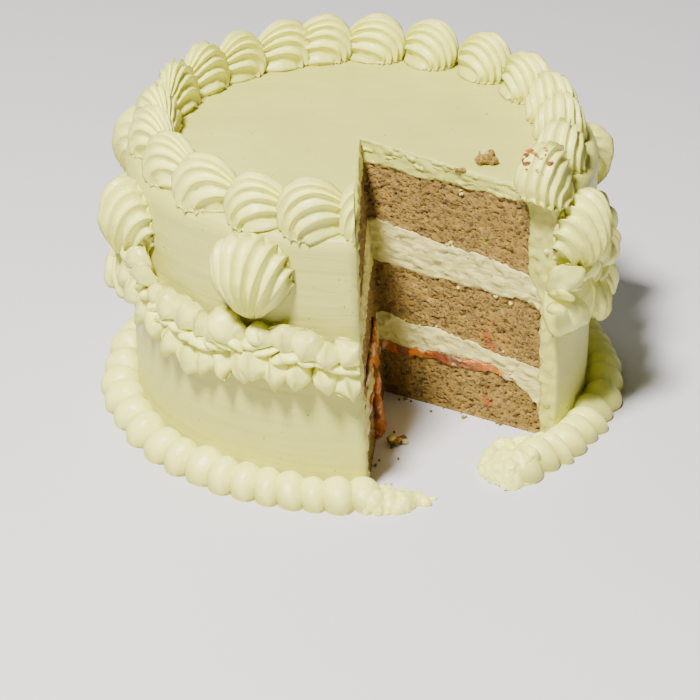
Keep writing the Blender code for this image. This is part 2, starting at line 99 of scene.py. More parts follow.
# Azimuths of the shells round the top, and how far a tail turns inwards on the left
TOP_SHELLS = (-86.9, -101.4, -115.8, -131.9, -148.8, -167.4, 175.3, 159.1, 143.4, 129.4,
              114.5, 102.3, 86.9, 70.4, 51.8, 33.3, 15.2, 0.5, -18.1, -35.9)
TAIL_INWARD = 14.0

# Where the ring of shells lies, in shares of the cake's radius: a little oval, nearer the rim at one azimuth
RING = 0.85
RING_OVAL = 0.055
RING_ASIDE = -0.015
RIM_AZIMUTH = -40.0
RIM_SHIFT = 0.07
RIM_SPREAD = 22.0

# How a shell sags over the rounded rim: from which radius, over what width, how deep, and the most widths
SAG_FROM = 0.0772
SAG_WIDTH = 0.0048
SAG_DEPTH = 0.0019
SAG_MOST = 1.3

# Fans on the wall: azimuth, height of the middle, scale
SIDE_SHELLS = ((-157.0, 0.0775, 1.0), (-115.0, 0.0785, 1.0), (-31.0, 0.078, 0.97), (15.0, 0.076, 0.78),
               (61.0, 0.078, 0.95), (111.0, 0.0775, 1.0), (160.0, 0.078, 0.95))

# Height of the garland's groove at each fan and at the dip after it
SWAGS = ((-157.0, 0.072, 0.047), (-115.0, 0.056, 0.049), (-72.0, 0.058, 0.048), (-31.0, 0.066, 0.048),
         (15.0, 0.06, 0.048), (61.0, 0.06, 0.048), (111.0, 0.062, 0.048), (160.0, 0.066, 0.048))
SWAG_POWER = 2.6
# Where the photo shows larger petals: azimuth, spread and share
LARGE_AT = ((-174, 14, 1), (-28, 12, 0.8))
# Smooth lumps where two swags meet: the swag, the azimuth from its fan, the height and the lump's sizes
SWAG_BLOBS = ((1, -6.2, 0.0585, (0.015, 0.0115, 0.0078)), (1, 2.6, 0.059, (0.0105, 0.0075, 0.007)),
              (0, -5.0, 0.07, (0.012, 0.01, 0.007)), (0, 4.5, 0.069, (0.014, 0.01, 0.0074)),
              (3, 4.0, 0.064, (0.013, 0.0105, 0.0072)), (4, -5.0, 0.06, (0.012, 0.009, 0.007)),
              (5, 4.0, 0.06, (0.013, 0.01, 0.0074)), (6, -5.0, 0.062, (0.013, 0.0105, 0.0074)),
              (7, 3.0, 0.066, (0.012, 0.009, 0.007)))

# Azimuths of the bead creases that the photo shows, and the radius of the row's outer side
FRONT_CREASES = (-188.3, -178.2, -170.2, -163.0, -155.0, -147.0, -138.5, -132.5,
                 -125.7, -120.2, -114.7, -109.7, -104.3, -99.5, -93.6)
RIGHT_CREASES = (-57.2, -50.7, -44.9, -41.6, -35.5, -30.5, -25.7, -19.9, -13.2, -5.4)
BORDER_RADIUS = 0.095

# How finely the layers are cut up: steps along a radius, turns about the corner, rows up a cut, icing points
SPONGE_STEP = 0.00056
CREAM_STEP = 0.00065
TURNS = 56
ICING_TURNS = 150
SPONGE_ROWS = 46
CREAM_ROWS = 22
ICING_ROWS = 14
DISC_POINTS = 48
WALL_POINTS = 86

# Seeds of the random draws, the first two as in the solids, and of the noise on the cut faces
TOP_SEED = 100
FAN_SEED = 300
GARLAND_SEED = 700
CREASE_SEED = 31
BEAD_SEED = 5
SCRAP_SEED = 77
CRUMB_SEED = 19
NOISE_SEED = 7

# The camera that took the photo: its distance and height, its pan, tilt and roll in degrees, and its lens
CAMERA_DISTANCE = 9.57759 * CAKE_RADIUS
CAMERA_ELEVATION = 0.521
CAMERA_PAN = -0.33143
CAMERA_TILT = 0.60611
CAMERA_ROLL = -0.30234
CAMERA_FOCAL = 2129.434
PHOTO_SIDE = 700
SENSOR = 36.0
CLIP_START = 0.01

# The stage: the table, the world, and each light's name, place, side, power and tint
TABLE_SIDE = 6.0
WORLD_TINT = (0.9, 0.92, 1.0)
WORLD_STRENGTH = 0.07
LOOK_AT = (0, 0, 0.05)
LIGHTS = (("key_light", (-0.3, -0.54, 1.11), 0.2, 46.0, (1.0, 0.985, 0.95)),
          ("fill_light", (0.9, -0.5, 0.5), 0.9, 0.25, (0.95, 0.97, 1.0)),
          ("back_light", (-0.4, 0.9, 0.85), 0.5, 3.0, (1.0, 0.99, 0.97)))


def polar(azimuth, radius, z):
    """Point at an azimuth in degrees, a radius and a height."""
    angle = math.radians(azimuth)
    return Vector((radius * math.cos(angle), radius * math.sin(angle), z))


def smoothstep(value):
    """Ease from 0 to 1."""
    t = np.clip(value, 0.0, 1.0)
    return t * t * (3 - 2 * t)


class Link:
    """A value in a node tree. Arithmetic on it adds Math nodes."""

    def __init__(self, nodes, socket):
        self.nodes, self.socket = nodes, socket

    def maths(self, operation, *values):
        """Add one Math node."""
        return self.nodes.add("ShaderNodeMath", {"operation": operation}, dict(enumerate(values)))

    def __add__(self, other):
        return self.maths("ADD", self, other)

    def __sub__(self, other):
        return self.maths("SUBTRACT", self, other)

    def __rsub__(self, other):
        return self.maths("SUBTRACT", other, self)

    def __mul__(self, other):
        return self.maths("MULTIPLY", self, other)

    def __truediv__(self, other):
        return self.maths("DIVIDE", self, other)

    def __pow__(self, other):
        return self.maths("POWER", self, other)

    __radd__ = __add__
    __rmul__ = __mul__

    def clamp(self):
        """Keep between 0 and 1."""
        return self.maths("MINIMUM", self.maths("MAXIMUM", self, 0.0), 1.0)

    def at_least(self, low):
        """Keep above a value."""
        return self.maths("MAXIMUM", self, low)

    def absolute(self):
        """Drop the sign."""
        return self.maths("ABSOLUTE", self)

    def sine(self):
        """Sine of an angle in radians."""
        return self.maths("SINE", self)

    def cosine(self):
        """Cosine of an angle in radians."""
        return self.maths("COSINE", self)

    def ramp(self, low, high):
        """0 below low, 1 above high, eased between."""
        settings = {"interpolation_type": "SMOOTHSTEP"}
        sockets = {"Value": self, "From Min": low, "From Max": high}
        return self.nodes.add("ShaderNodeMapRange", settings, sockets)


class Nodes:
    """Adds nodes to a tree from a type, its settings, and the values or links of its sockets."""

    STEP = 190

    def __init__(self, tree):
        self.tree = tree
        self.count = 0

    def add(self, kind, settings=None, sockets=None, output=0):
        """Add a node and return one of its outputs."""
        node = self.tree.nodes.new(kind)
        node.location = (self.STEP * (self.count % 12), -self.STEP * (self.count // 12))
        self.count += 1
        for name, value in (settings or {}).items():
            setattr(node, name, value)
        for key, value in (sockets or {}).items():
            if isinstance(value, Link):
                self.tree.links.new(value.socket, node.inputs[key])
            else:
                node.inputs[key].default_value = value
        return Link(self, node.outputs[output]) if len(node.outputs) else node

    def other(self, link, name):
        """Another output of the node that a link comes from."""
        return Link(self, link.socket.node.outputs[name])

    def vector(self, x, y, z):
        """Join three numbers into a vector."""
        return self.add("ShaderNodeCombineXYZ", None, {0: x, 1: y, 2: z})

    def split(self, vector):
        """The three numbers of a vector."""
        x = self.add("ShaderNodeSeparateXYZ", None, {0: vector})
        return x, self.other(x, "Y"), self.other(x, "Z")

    def sum(self, first, second):
        """Add two vectors."""
        return self.add("ShaderNodeVectorMath", {"operation": "ADD"}, {0: first, 1: second})

    def scaled(self, vector, factor):
        """Scale a vector."""
        return self.add("ShaderNodeVectorMath", {"operation": "SCALE"}, {0: vector, "Scale": factor})

    def mix(self, factor, first, second):
        """Blend two colours."""
        return self.add("ShaderNodeMix", {"data_type": "RGBA"}, {0: factor, 6: first, 7: second}, 2)

    def grain(self, place, scale, detail=3.0, roughness=0.55):
        """Noise from 0 to 1."""
        sockets = {"Vector": place, "Scale": scale, "Detail": detail, "Roughness": roughness}
        return self.add("ShaderNodeTexNoise", {"noise_dimensions": "3D"}, sockets)

    def cells(self, place, scale):
        """Distance to the nearest of many scattered spots."""
        return self.add("ShaderNodeTexVoronoi", {"feature": "F1"}, {"Vector": place, "Scale": scale})


def colour(red, green, blue):
    """A colour socket's value."""
    return (red, green, blue, 1.0)


def tinted(base, factor):
    """A colour made lighter or darker."""
    return colour(*(min(channel * factor, 1.0) for channel in base))


def coated(name, recipe, tint, fixed):
    """Make a material. The recipe gives its colour, roughness, relief and the relief's depth."""
    material = bpy.data.materials.new(name)
    material.use_nodes = True
    material.node_tree.nodes.clear()
    nodes = Nodes(material.node_tree)
    place = nodes.add("ShaderNodeTexCoord", output="Object")
    base, rough, relief, depth = recipe(nodes, place, tint)
    normal = nodes.add("ShaderNodeBump", None, {"Strength": 1.0, "Distance": depth, "Height": relief})
    sockets = {"Base Color": base, "Roughness": rough, "Normal": normal, **fixed}
    shader = nodes.add("ShaderNodeBsdfPrincipled", None, sockets)
    nodes.add("ShaderNodeOutputMaterial", None, {"Surface": shader})
    return material


def icing_recipe(nodes, place, tint):
    """Smoothed buttercream: faint strokes of the scraper, and a few dark specks."""
    x, y, z = nodes.split(place)
    strokes = nodes.grain(nodes.vector(x * 14, y * 14, z * 260), 1.0, 3.0)
    patches = nodes.grain(place, 38.0, 2.0)
    specks = nodes.grain(place, 620.0, 0.0).ramp(0.845, 0.86)
    pits = nodes.grain(place, 900.0, 1.0).ramp(0.7, 0.8)
    base = nodes.mix(patches.ramp(0.3, 0.72), tinted(tint, 0.95), tinted(tint, 1.04))
    base = nodes.mix(specks * 0.75, base, colour(0.17, 0.14, 0.08))
    sweeps = nodes.grain(nodes.vector(x * 16, y * 130, 0.0), 1.0, 3.0) * z.ramp(0.0925, 0.0942)
    base = nodes.mix(sweeps.ramp(0.4, 0.75) * 0.25, base, tinted(tint, 1.12))
    relief = strokes * 0.7 + patches * 0.8 + sweeps * 0.6 - pits * 0.25
    return base, strokes * 0.1 + 0.4, relief, 0.0007


def piping_recipe(nodes, place, tint):
    """Piped buttercream: smooth and soft, with small bubbles and drag marks, and painted shade in its grooves
    and at its foot.
    """
    patches = nodes.grain(place, 70.0, 2.0)
    bubbles = nodes.grain(place, 1500.0, 1.0).ramp(0.68, 0.8)
    drag = nodes.grain(place, 420.0, 3.0)
    base = nodes.mix(patches.ramp(0.3, 0.72), tinted(tint, 0.96), tinted(tint, 1.04))
    # Painted shade: darker where the shell tree's crease mask says, in the grooves and at the foot
    crease = nodes.add("ShaderNodeAttribute", {"attribute_name": "crease"}, None, "Fac")
    base = nodes.mix(crease * 0.62, base, colour(0.42, 0.385, 0.062))
    return base, patches * 0.12 + 0.34, drag * 0.5 + patches * 0.5 - bubbles * 0.3, 0.0005


def filling_recipe(nodes, place, tint):
    """Cream that the knife has cut and dragged: ragged streaks, and crumbs carried into it."""
    x, y, z = nodes.split(place)
    drag = nodes.grain(nodes.vector(x * 90, y * 90, z * 520), 1.0, 5.0, 0.65)
    clots = nodes.grain(place, 260.0, 3.0)
    crumbs = nodes.grain(place, 640.0, 1.0).ramp(0.7, 0.76)
    base = nodes.mix(drag.ramp(0.32, 0.7), tinted(tint, 0.86), tinted(tint, 1.05))
    base = nodes.mix(crumbs * 0.55, base, colour(0.46, 0.29, 0.12))
    return base, drag * 0.15 + 0.45, drag * 0.8 + clots * 0.5, 0.0011


def sponge_recipe(nodes, place, tint):
    """Open crumb: small pores in clusters painted dark as their shade, lighter and darker patches, and a few
    bits of fruit.
    """
    x, y, z = nodes.split(place)
    flat = nodes.vector(x, y, z * 1.15)
    lumps = nodes.grain(flat, 150.0, 3.0)
    cells = nodes.grain(flat, 900.0, 4.0, 0.65)
    clusters = nodes.grain(flat, 230.0, 2.0)
    pores = (nodes.cells(flat, 950.0) + cells * 0.5 - clusters * 0.9 + 0.3).ramp(0.52, 0.28)
    holes = (nodes.cells(flat, 210.0) + cells * 0.5).ramp(0.45, 0.36)
    pale = nodes.grain(place, 480.0, 3.0).ramp(0.54, 0.72)
    ochre = nodes.grain(place, 75.0, 3.0).ramp(0.56, 0.7)
    base = nodes.mix(lumps.ramp(0.3, 0.7), tinted(tint, 0.84), tinted(tint, 1.15))
    base = nodes.mix(ochre * 0.5, base, colour(0.34, 0.165, 0.022))
    base = nodes.mix(pale * 0.45, base, colour(0.46, 0.32, 0.1))
    # Painted shade: the pores and holes, which the relief also sinks, are painted dark as the shade in the
    # crumb's hollows
    base = nodes.mix(pores * 0.5, base, colour(0.15, 0.08, 0.018))
    base = nodes.mix(holes * 0.75, base, colour(0.1, 0.045, 0.01))
    bits = nodes.grain(place, 165.0, 0.0).ramp(0.775, 0.8)
    kind = nodes.grain(place, 60.0, 0.0).ramp(0.49, 0.51)
    fruit = nodes.mix(kind, colour(0.36, 0.28, 0.03), colour(0.36, 0.08, 0.012))
    base = nodes.mix(bits * 0.7, base, fruit)
    return base, cells * 0.1 + 0.8, cells * 0.5 + lumps * 0.6 - pores * 0.7 - holes, 0.0008


def fruit_recipe(nodes, place, tint):
    """Fruit spread worked into cream: orange and dark red patches with pinkish cream between them."""
    patches = nodes.grain(place, 130.0, 4.0, 0.65)
    streaks = nodes.grain(place, 420.0, 4.0)
    dark = nodes.grain(place, 110.0, 3.0).ramp(0.54, 0.62)
    base = nodes.mix(patches.ramp(0.43, 0.51), colour(0.68, 0.5, 0.27), tinted(tint, 1.0))
    base = nodes.mix(streaks.ramp(0.46, 0.66) * 0.6, base, colour(0.3, 0.12, 0.018))
    base = nodes.mix(dark * 0.85, base, colour(0.13, 0.03, 0.012))
    return base, streaks * 0.2 + 0.26, patches * 0.5 + streaks * 0.7, 0.0012


def floor_recipe(nodes, place, tint):
    """Plain pale table."""
    cloud = nodes.grain(place, 3.0, 2.0)
    base = nodes.mix(cloud, tinted(tint, 0.98), tinted(tint, 1.02))
    return base, cloud * 0.1 + 0.5, cloud, 0.0001


CREAM_GLOW = {"Subsurface Weight": 0.15, "Subsurface Radius": (1.0, 0.85, 0.45), "Subsurface Scale": 0.0009}
FINISHES = {
    "icing": (icing_recipe, CREAM_GLOW),
    "piping": (piping_recipe, CREAM_GLOW),
    "filling": (filling_recipe, CREAM_GLOW),
    "sponge": (sponge_recipe, {"Sheen Weight": 0.1, "Specular IOR Level": 0.25}),
    "fruit": (fruit_recipe, {"Specular IOR Level": 0.55}),
    "floor": (floor_recipe, {"Specular IOR Level": 0.3}),
}


def finish_named(name):
    """The material of one finish, made when it is first asked for."""
    found = bpy.data.materials.get(name + "_finish")
    if found is None:
        recipe, fixed = FINISHES[name]
        found = coated(name + "_finish", recipe, getattr(bpy.context.scene.cake_colours, name), fixed)
    return found


def tint_property(name, description, default):
    """A colour that the user may change."""
    return bpy.props.FloatVectorProperty(
        name=name, description=description, default=default, min=0.0, max=1.0, size=3, subtype="COLOR")


def length_property(name, description, default):
    """A length that the user may change."""
    return bpy.props.FloatProperty(
        name=name, description=description, default=default, min=0.0, subtype="DISTANCE", unit="LENGTH")


class CakeColours(bpy.types.PropertyGroup):
    """Colours of the cake."""

    # Icing and piping are one buttercream: the piping's far lighter tint is painted light, making the piped
    # work brighter than the wall
    icing: tint_property("Icing", "Smoothed buttercream on the wall and top", (0.61, 0.59, 0.127))
    piping: tint_property("Piping", "Shells, fans, garland and beads", (0.94, 0.935, 0.235))
    filling: tint_property("Filling", "Cream between the sponges", (0.72, 0.65, 0.22))
    sponge: tint_property("Sponge", "Crumb of the three sponges", (0.285, 0.172, 0.032))
    fruit: tint_property("Fruit", "Fruit spread on the bottom sponge", (0.56, 0.155, 0.014))
    floor: tint_property("Table", "Plain table that the cake stands on", (0.7, 0.68, 0.69))


class CakeSizes(bpy.types.PropertyGroup):
    """Sizes of the cake's piping and crumb."""

    crumb_depth: length_property("Crumb depth", "How deep the cut sponge's crumb is", 0.0011)
    shell_length: length_property("Shell length", "Head to tail of a shell on the top", 0.0245)
    shell_width: length_property("Shell width", "Width of a shell on the top", 0.0156)
    shell_extra: length_property("Extra width", "How much wider the shells on the far side are", 0.003)
    shell_height: length_property("Shell height", "Height of a shell on the top", 0.015)
    fan_length: length_property("Fan length", "Top to tail of a fan on the wall", 0.03)
    fan_width: length_property("Fan width", "Width of a fan on the wall", 0.0272)
    fan_height: length_property("Fan height", "How far a fan stands off the wall", 0.0125)
    ridge_depth: length_property("Ridge depth", "Depth of the grooves that the star nozzle leaves", 0.0013)
    petal_length: length_property("Petal length", "Length of the garland's hanging petals", 0.012)
    petal_width: length_property("Petal width", "Width of the garland's petals", 0.0098)
    bead_length: length_property("Bead length", "Length of a bead along the foot of the cake", 0.016)
    bead_height: length_property("Bead height", "Height of the beads at the foot", 0.0085)


def sizes():
    """The sizes in use."""
    return bpy.context.scene.cake_sizes


def finish_piece(ob, finish, slot_name, *nodes):
    """Coat a piece, turn its faces outwards, and let it ride on the cake in place of its solids."""
    mesh = ob.data
    mesh.materials.clear()
    mesh.materials.append(finish_named(finish))
    bm = bmesh.new()
    bm.from_mesh(mesh)
    if bm.calc_volume(signed=True) < 0:
        bmesh.ops.reverse_faces(bm, faces=bm.faces[:])
    bm.to_mesh(mesh)
    bm.free()
    mesh.shade_smooth()
    if ob.name not in bpy.context.scene.collection.objects:
        bpy.context.scene.collection.objects.link(ob)
    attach(ob, "root")
    if nodes:
        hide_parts(*nodes)
    return ob


def grid_faces(rows, columns, offset, flip=False):
    """Quads of a grid of points stored row by row."""
    index = np.arange(rows * columns).reshape(rows, columns) + offset
    quads = np.stack([index[:-1, :-1], index[1:, :-1], index[1:, 1:], index[:-1, 1:]], axis=-1).reshape(-1, 4)
    return quads[:, ::-1] if flip else quads


def joined_grids(name, grids):
    """Make one mesh of several grids of points, welded where they meet."""
    points, faces, offset = [], [], 0
    for grid, flip in grids:
        rows, columns, _ = grid.shape
        points.append(grid.reshape(-1, 3))
        faces.append(grid_faces(rows, columns, offset, flip))
        offset += rows * columns
    mesh = bpy.data.meshes.new(name)
    mesh.from_pydata(np.concatenate(points).tolist(), [], np.concatenate(faces).tolist())
    bm = bmesh.new()
    bm.from_mesh(mesh)
    bmesh.ops.remove_doubles(bm, verts=bm.verts[:], dist=WELD)
    bmesh.ops.recalc_face_normals(bm, faces=bm.faces[:])
    bm.to_mesh(mesh)
    bm.free()
    return mesh


def between(pair, z):
    """A corner of the missing slice at the given heights, as the cuts lean."""
    base, top = np.array(pair)
    return base + (top - base) * (z / CAKE_HEIGHT)[..., None]


def cut_azimuth(edge, z):
    """Direction of a knife cut from the corner, at the given heights, in radians."""
    offset = between(edge, z) - between(CUT_CORNER, z)
    return np.arctan2(offset[..., 1], offset[..., 0])


def swept(turn, curve):
    """Points of a curve swept about the cut's corner from the right cut to the left one.

    A curve is the share of the way out, the radius that is the whole way, and the height: a number or, where
    it is not given, the curve's surface at that distance from the axis.
    """
    share, radius, fixed, surface = curve
    turn, share, radius, fixed = np.broadcast_arrays(turn[:, None], share, radius, fixed)
    given = ~np.isnan(fixed)
    z = np.where(given, fixed, surface(radius * share))
    for _ in range(4):
        corner = between(CUT_CORNER, z)
        right = cut_azimuth(CUT_RIGHT, z)
        left = cut_azimuth(CUT_LEFT, z) + 2 * math.pi
        angle = right + (left - right) * turn
        direction = np.stack([np.cos(angle), np.sin(angle)], axis=-1)
        along = (corner * direction).sum(-1)
        reach = np.sqrt(along ** 2 - (corner ** 2).sum(-1) + radius ** 2) - along
        flat = corner + direction * (share * reach)[..., None]
        z = np.where(given, fixed, surface(np.hypot(flat[..., 0], flat[..., 1])))
    return np.concatenate([flat, z[..., None]], axis=-1)


def noise_at(points, scale, seed):
    """Smooth noise vectors from -1 to 1 at an array of points."""
    flat = points.reshape(-1, 3) * scale + seed
    return np.array([noise.noise_vector(point) for point in flat]).reshape(points.shape)


def noise_number(points, scale, seed):
    """One number of that noise at each point."""
    return noise_at(points, scale, seed)[..., 0]


# Scale, seed and depth of the uneven lines, and the radius past which they fade out
RAGGED_NOISE = ((130.0, 3.0, 0.0011), (340.0, 4.0, 0.0007), (760.0, 9.0, 0.0006))
RAGGED_RADIUS = 0.0805
RAGGED_FADE = 0.004


def ragged(points):
    """Shift points within the cut a little, so that layers meet in uneven lines. The outside stays."""
    flat = points[..., :2]
    z = points[..., 2]
    corner = between(CUT_CORNER, z)
    outwards = flat - corner
    length = np.linalg.norm(outwards, axis=-1, keepdims=True)
    outwards = outwards / np.maximum(length, 0.0001)
    inside = smoothstep((RAGGED_RADIUS - np.hypot(flat[..., 0], flat[..., 1])) / RAGGED_FADE)
    inside = inside * smoothstep((CAKE_HEIGHT - 0.0012 - z) / RAGGED_FADE) * smoothstep(z / 0.003)
    shift = sum(noise_at(points, scale, seed) * depth for scale, seed, depth in RAGGED_NOISE)
    moved = points.copy()
    moved[..., :2] += outwards * (shift[..., :1] * inside[..., None]) * smoothstep(length / RAGGED_FADE)
    moved[..., 2] += shift[..., 2] * inside
    return moved


def relief(face, outwards, amount):
    """Push the inner points of a cut face in or out."""
    rows, columns, _ = face.shape
    row_edge = np.minimum(np.arange(rows), rows - 1 - np.arange(rows))
    column_edge = np.minimum(np.arange(columns), columns - 1 - np.arange(columns))
    mask = np.minimum(row_edge[:, None] / 1.5, 1.0) * np.minimum(column_edge[None, :] / 1.5, 1.0)
    direction = np.zeros_like(face)
    direction[..., :2] = outwards
    return face + direction * (amount(face) * mask)[..., None]


def wedge(name, upper, lower, turns, across, amount):
    """Solid between two curves swept round the corner, with relief on its two cut faces."""
    turn = np.linspace(0.0, 1.0, turns)
    above = swept(turn, upper)
    below = swept(turn, lower)
    share = np.linspace(0.0, 1.0, across + 1)[None, :, None]
    end = ragged(above[:, -1][:, None] * (1 - share) + below[:, -1][:, None] * share)
    grids = [(ragged(above), False), (ragged(below), True), (end, False)]
    for index, side in ((0, 1.0), (-1, -1.0)):
        face = above[index][:, None] * (1 - share) + below[index][:, None] * share
        along = face[-1, 0, :2] - face[0, 0, :2]
        along = along / np.linalg.norm(along)
        outwards = side * np.array([along[1], -along[0]])
        grids.append((relief(ragged(face), outwards, amount), index == 0))
    return joined_grids(name, grids)


def crumb_relief(face):
    """Open crumb of a cut sponge: soft lumps and small torn holes."""
    depth = sizes().crumb_depth
    lumps = noise_number(face, 190.0, 5.0)
    grain = noise_number(face, 520.0, 6.0)
    holes = smoothstep((noise_number(face, 900.0, 7.0) - 0.18) / 0.25)
    return depth * (0.45 * lumps + 0.4 * grain - 0.75 * holes - 0.35)


def cream_relief(face):
    """Cream dragged by the knife: it stands a little proud of the crumb, in streaks along the cut."""
    stretched = face * np.array([0.35, 0.35, 1.0])
    streaks = noise_number(stretched, 520.0, 11.0)
    swells = noise_number(face, 120.0, 12.0)
    clots = smoothstep((noise_number(face, 330.0, 14.0) - 0.05) / 0.3)
    return 0.00006 + 0.0005 * streaks + 0.00035 * swells + 0.0007 * clots


def fruit_relief(face):
    """Lumps of fruit in the spread."""
    return 0.0004 + 0.001 * noise_number(face, 260.0, 13.0)


def out_to(radius, step, surface):
    """Curve along a layer's upper or lower side, its points closer at the edge."""
    share = 1 - (1 - np.linspace(0.0, 1.0, int(radius / step))) ** 1.35
    return share, np.full_like(share, radius), np.full_like(share, np.nan), surface


def spread_top(radius):
    """Height of the fruit spread, which thins out towards its edge."""
    thin = smoothstep((radius - SPREAD_RADIUS + SPREAD_TAPER) / SPREAD_TAPER)
    thickness = SPREAD_THICKNESS + (SPREAD_EDGE - SPREAD_THICKNESS) * thin
    return BOTTOM.top(radius) + thickness


def cream_under(radius):
    """Lower side of the lower cream: on the spread, and past it on the bottom sponge's shoulder."""
    return np.where(radius < SPREAD_RADIUS, spread_top(radius), BOTTOM.top(radius))


def cream_over(radius):
    """Upper side of the upper cream, which flares down past the narrower top sponge."""
    past = np.clip((radius - TOP.radius) / (MIDDLE.radius - TOP.radius), 0.0, 1.0)
    edge = TOP.under(TOP.radius)
    return np.where(radius < TOP.radius, TOP.under(radius), edge + (CREAM_FLARE_Z - edge) * past)


def along_line(corners, count):
    """Evenly spaced points on a line through (radius, height) corners."""
    corners = np.array(corners)
    lengths = np.concatenate([[0.0], np.cumsum(np.linalg.norm(np.diff(corners, axis=0), axis=1))])
    at = np.linspace(0.0, lengths[-1], count)
    return np.interp(at, lengths, corners[:, 0]), np.interp(at, lengths, corners[:, 1])


def cup_curve(edge, surface, corners):
    """Curve of the icing: over the disc as far as an edge radius, then down a line of corners."""
    share = np.concatenate([np.linspace(0.0, 1.0, DISC_POINTS), np.ones(WALL_POINTS - 1)])
    radius, z = along_line(corners, WALL_POINTS)
    radii = np.concatenate([np.full(DISC_POINTS, edge), radius[1:]])
    heights = np.concatenate([np.full(DISC_POINTS, np.nan), z[1:]])
    return share, radii, heights, surface


def icing_curves():
    """Outside and inside of the icing: the top, the rounded rim and the wall, and the room for the layers."""
    rim = CAKE_RADIUS - RIM_ROUND
    arc = [math.radians(90 - 10 * step) for step in range(10)]
    outside = [(rim + RIM_ROUND * math.cos(a), CAKE_HEIGHT - RIM_ROUND * (1 - math.sin(a))) for a in arc]
    outside.append((CAKE_RADIUS, 0.0))
    edge = TOP.under(TOP.radius)
    inside = [(TOP.radius, float(TOP.top(TOP.radius))), (TOP.radius, edge), (MIDDLE.radius, CREAM_FLARE_Z),
              (MIDDLE.radius, 0.0)]
    upper = cup_curve(rim, lambda r: np.full_like(r, CAKE_HEIGHT), outside)
    lower = cup_curve(TOP.radius, TOP.top, inside)
    return upper, lower


def add_layer(name, mesh, finish, slot_name):
    """A layer's piece, in place of its solid."""
    ob = bpy.data.objects.new(name + "_fine", mesh)
    return finish_piece(ob, finish, slot_name, name)


class CAKE_OT_sponges(bpy.types.Operator):
    """Three sponges with open crumb on the cuts"""

    bl_idname = "cake.sponges"
    bl_label = "Sponges"

    def execute(self, context):
        """Build each sponge."""
        for name, layer in (("sponge_bottom", BOTTOM), ("sponge_middle", MIDDLE), ("sponge_top", TOP)):
            upper = out_to(layer.radius, SPONGE_STEP, layer.top)
            lower = out_to(layer.radius, SPONGE_STEP, layer.under)
            mesh = wedge(name, upper, lower, TURNS, SPONGE_ROWS, crumb_relief)
            add_layer(name, mesh, "sponge", "sponge")
        return {"FINISHED"}


class CAKE_OT_fillings(bpy.types.Operator):
    """Fruit spread and the two layers of cream"""

    bl_idname = "cake.fillings"
    bl_label = "Fillings"

    def execute(self, context):
        """Build each filling."""
        rows = (("fruit_spread", SPREAD_RADIUS, spread_top, BOTTOM.top, fruit_relief, "fruit",
                 "fruit_spread"),
                ("cream_lower", BOTTOM.radius, MIDDLE.under, cream_under, cream_relief, "filling",
                 "filling_cream"),
                ("cream_upper", MIDDLE.radius, cream_over, MIDDLE.top, cream_relief, "filling",
                 "filling_cream"))
        for name, radius, over, under, amount, finish, slot_name in rows:
            upper = out_to(radius, CREAM_STEP, over)
            lower = out_to(radius, CREAM_STEP, under)
            mesh = wedge(name, upper, lower, TURNS, CREAM_ROWS, amount)
            add_layer(name, mesh, finish, slot_name)
        return {"FINISHED"}


class CAKE_OT_icing(bpy.types.Operator):
    """Buttercream over the top and wall"""

    bl_idname = "cake.icing"
    bl_label = "Icing"

    def execute(self, context):
        """Build the icing."""
        upper, lower = icing_curves()
        mesh = wedge("icing", upper, lower, ICING_TURNS, ICING_ROWS, cream_relief)
        add_layer("icing", mesh, "icing", "icing")
        return {"FINISHED"}


# A shell's form: the share that rises, the turn of its drop, how round its section and ridges are, how sharp
# the painted shade in its grooves is, and then the inputs of its tree, whose Shade is how much painted shade
# darkens its foot
RISE_SHARE = 0.5
DROP_TURN = math.radians(118)
DOME_POWER = 0.78
RIDGE_POWER = 0.75
RIDGE_MIDDLE = 0.62
CREASE_POWER = 1.4
SHELL_SIZES = (("Length", 1.0), ("Width", 1.0), ("Height", 1.0), ("Head", 0.45), ("Splay", 2.0),
               ("Peak", 0.58), ("Fullness", 1.0), ("Point", 0.0), ("Shade", 0.3), ("Tail Height", 0.0),
               ("Bow", 0.06), ("Tail Rise", 1.0), ("Ridges", 0.0), ("Ridge Depth", 0.0), ("Twist", 0.0),
               ("Curl", 0.0), ("Unevenness", 0.0), ("Lump Scale", 150.0), ("Seed", 0.0))
SHELL_COUNTS = (("Rings", 20), ("Columns", 24))
POINT_ATTRIBUTES = (("turn", "FLOAT_VECTOR"), ("size", "FLOAT_VECTOR"), ("kind", "INT"))


def new_tree(name, floats, counts, points=False):
    """Geometry node tree with named inputs for its points, sizes and counts, and one for its material."""
    tree = bpy.data.node_groups.new(name, "GeometryNodeTree")
    tree.is_modifier = True
    tree.interface.new_socket("Geometry", in_out="OUTPUT", socket_type="NodeSocketGeometry")
    if points:
        tree.interface.new_socket("Points", in_out="INPUT", socket_type="NodeSocketGeometry")
    for kind, items in (("NodeSocketFloat", floats), ("NodeSocketInt", counts)):
        for item, default in items:
            tree.interface.new_socket(item, in_out="INPUT", socket_type=kind).default_value = default
    tree.interface.new_socket("Material", in_out="INPUT", socket_type="NodeSocketMaterial")
    return tree


def lumpy(nodes, place, scale, seed, amount):
    """How far soft lumps lift a surface at a place."""
    sown = nodes.sum(place, nodes.vector(seed, seed * 1.7, seed * 0.6))
    return (nodes.grain(sown, scale, 2.0) - 0.5) * amount


def lifted(nodes, geometry, place, lift, grounded=True):
    """Move a surface along its normal and, if it is grounded, keep it above the ground."""
    normal = nodes.add("GeometryNodeInputNormal")
    moved = nodes.sum(place, nodes.scaled(normal, lift))
    if grounded:
        x, y, z = nodes.split(moved)
        moved = nodes.vector(x, y, z.at_least(0.0))
    return nodes.add("GeometryNodeSetPosition", None, {"Geometry": geometry, "Position": moved})


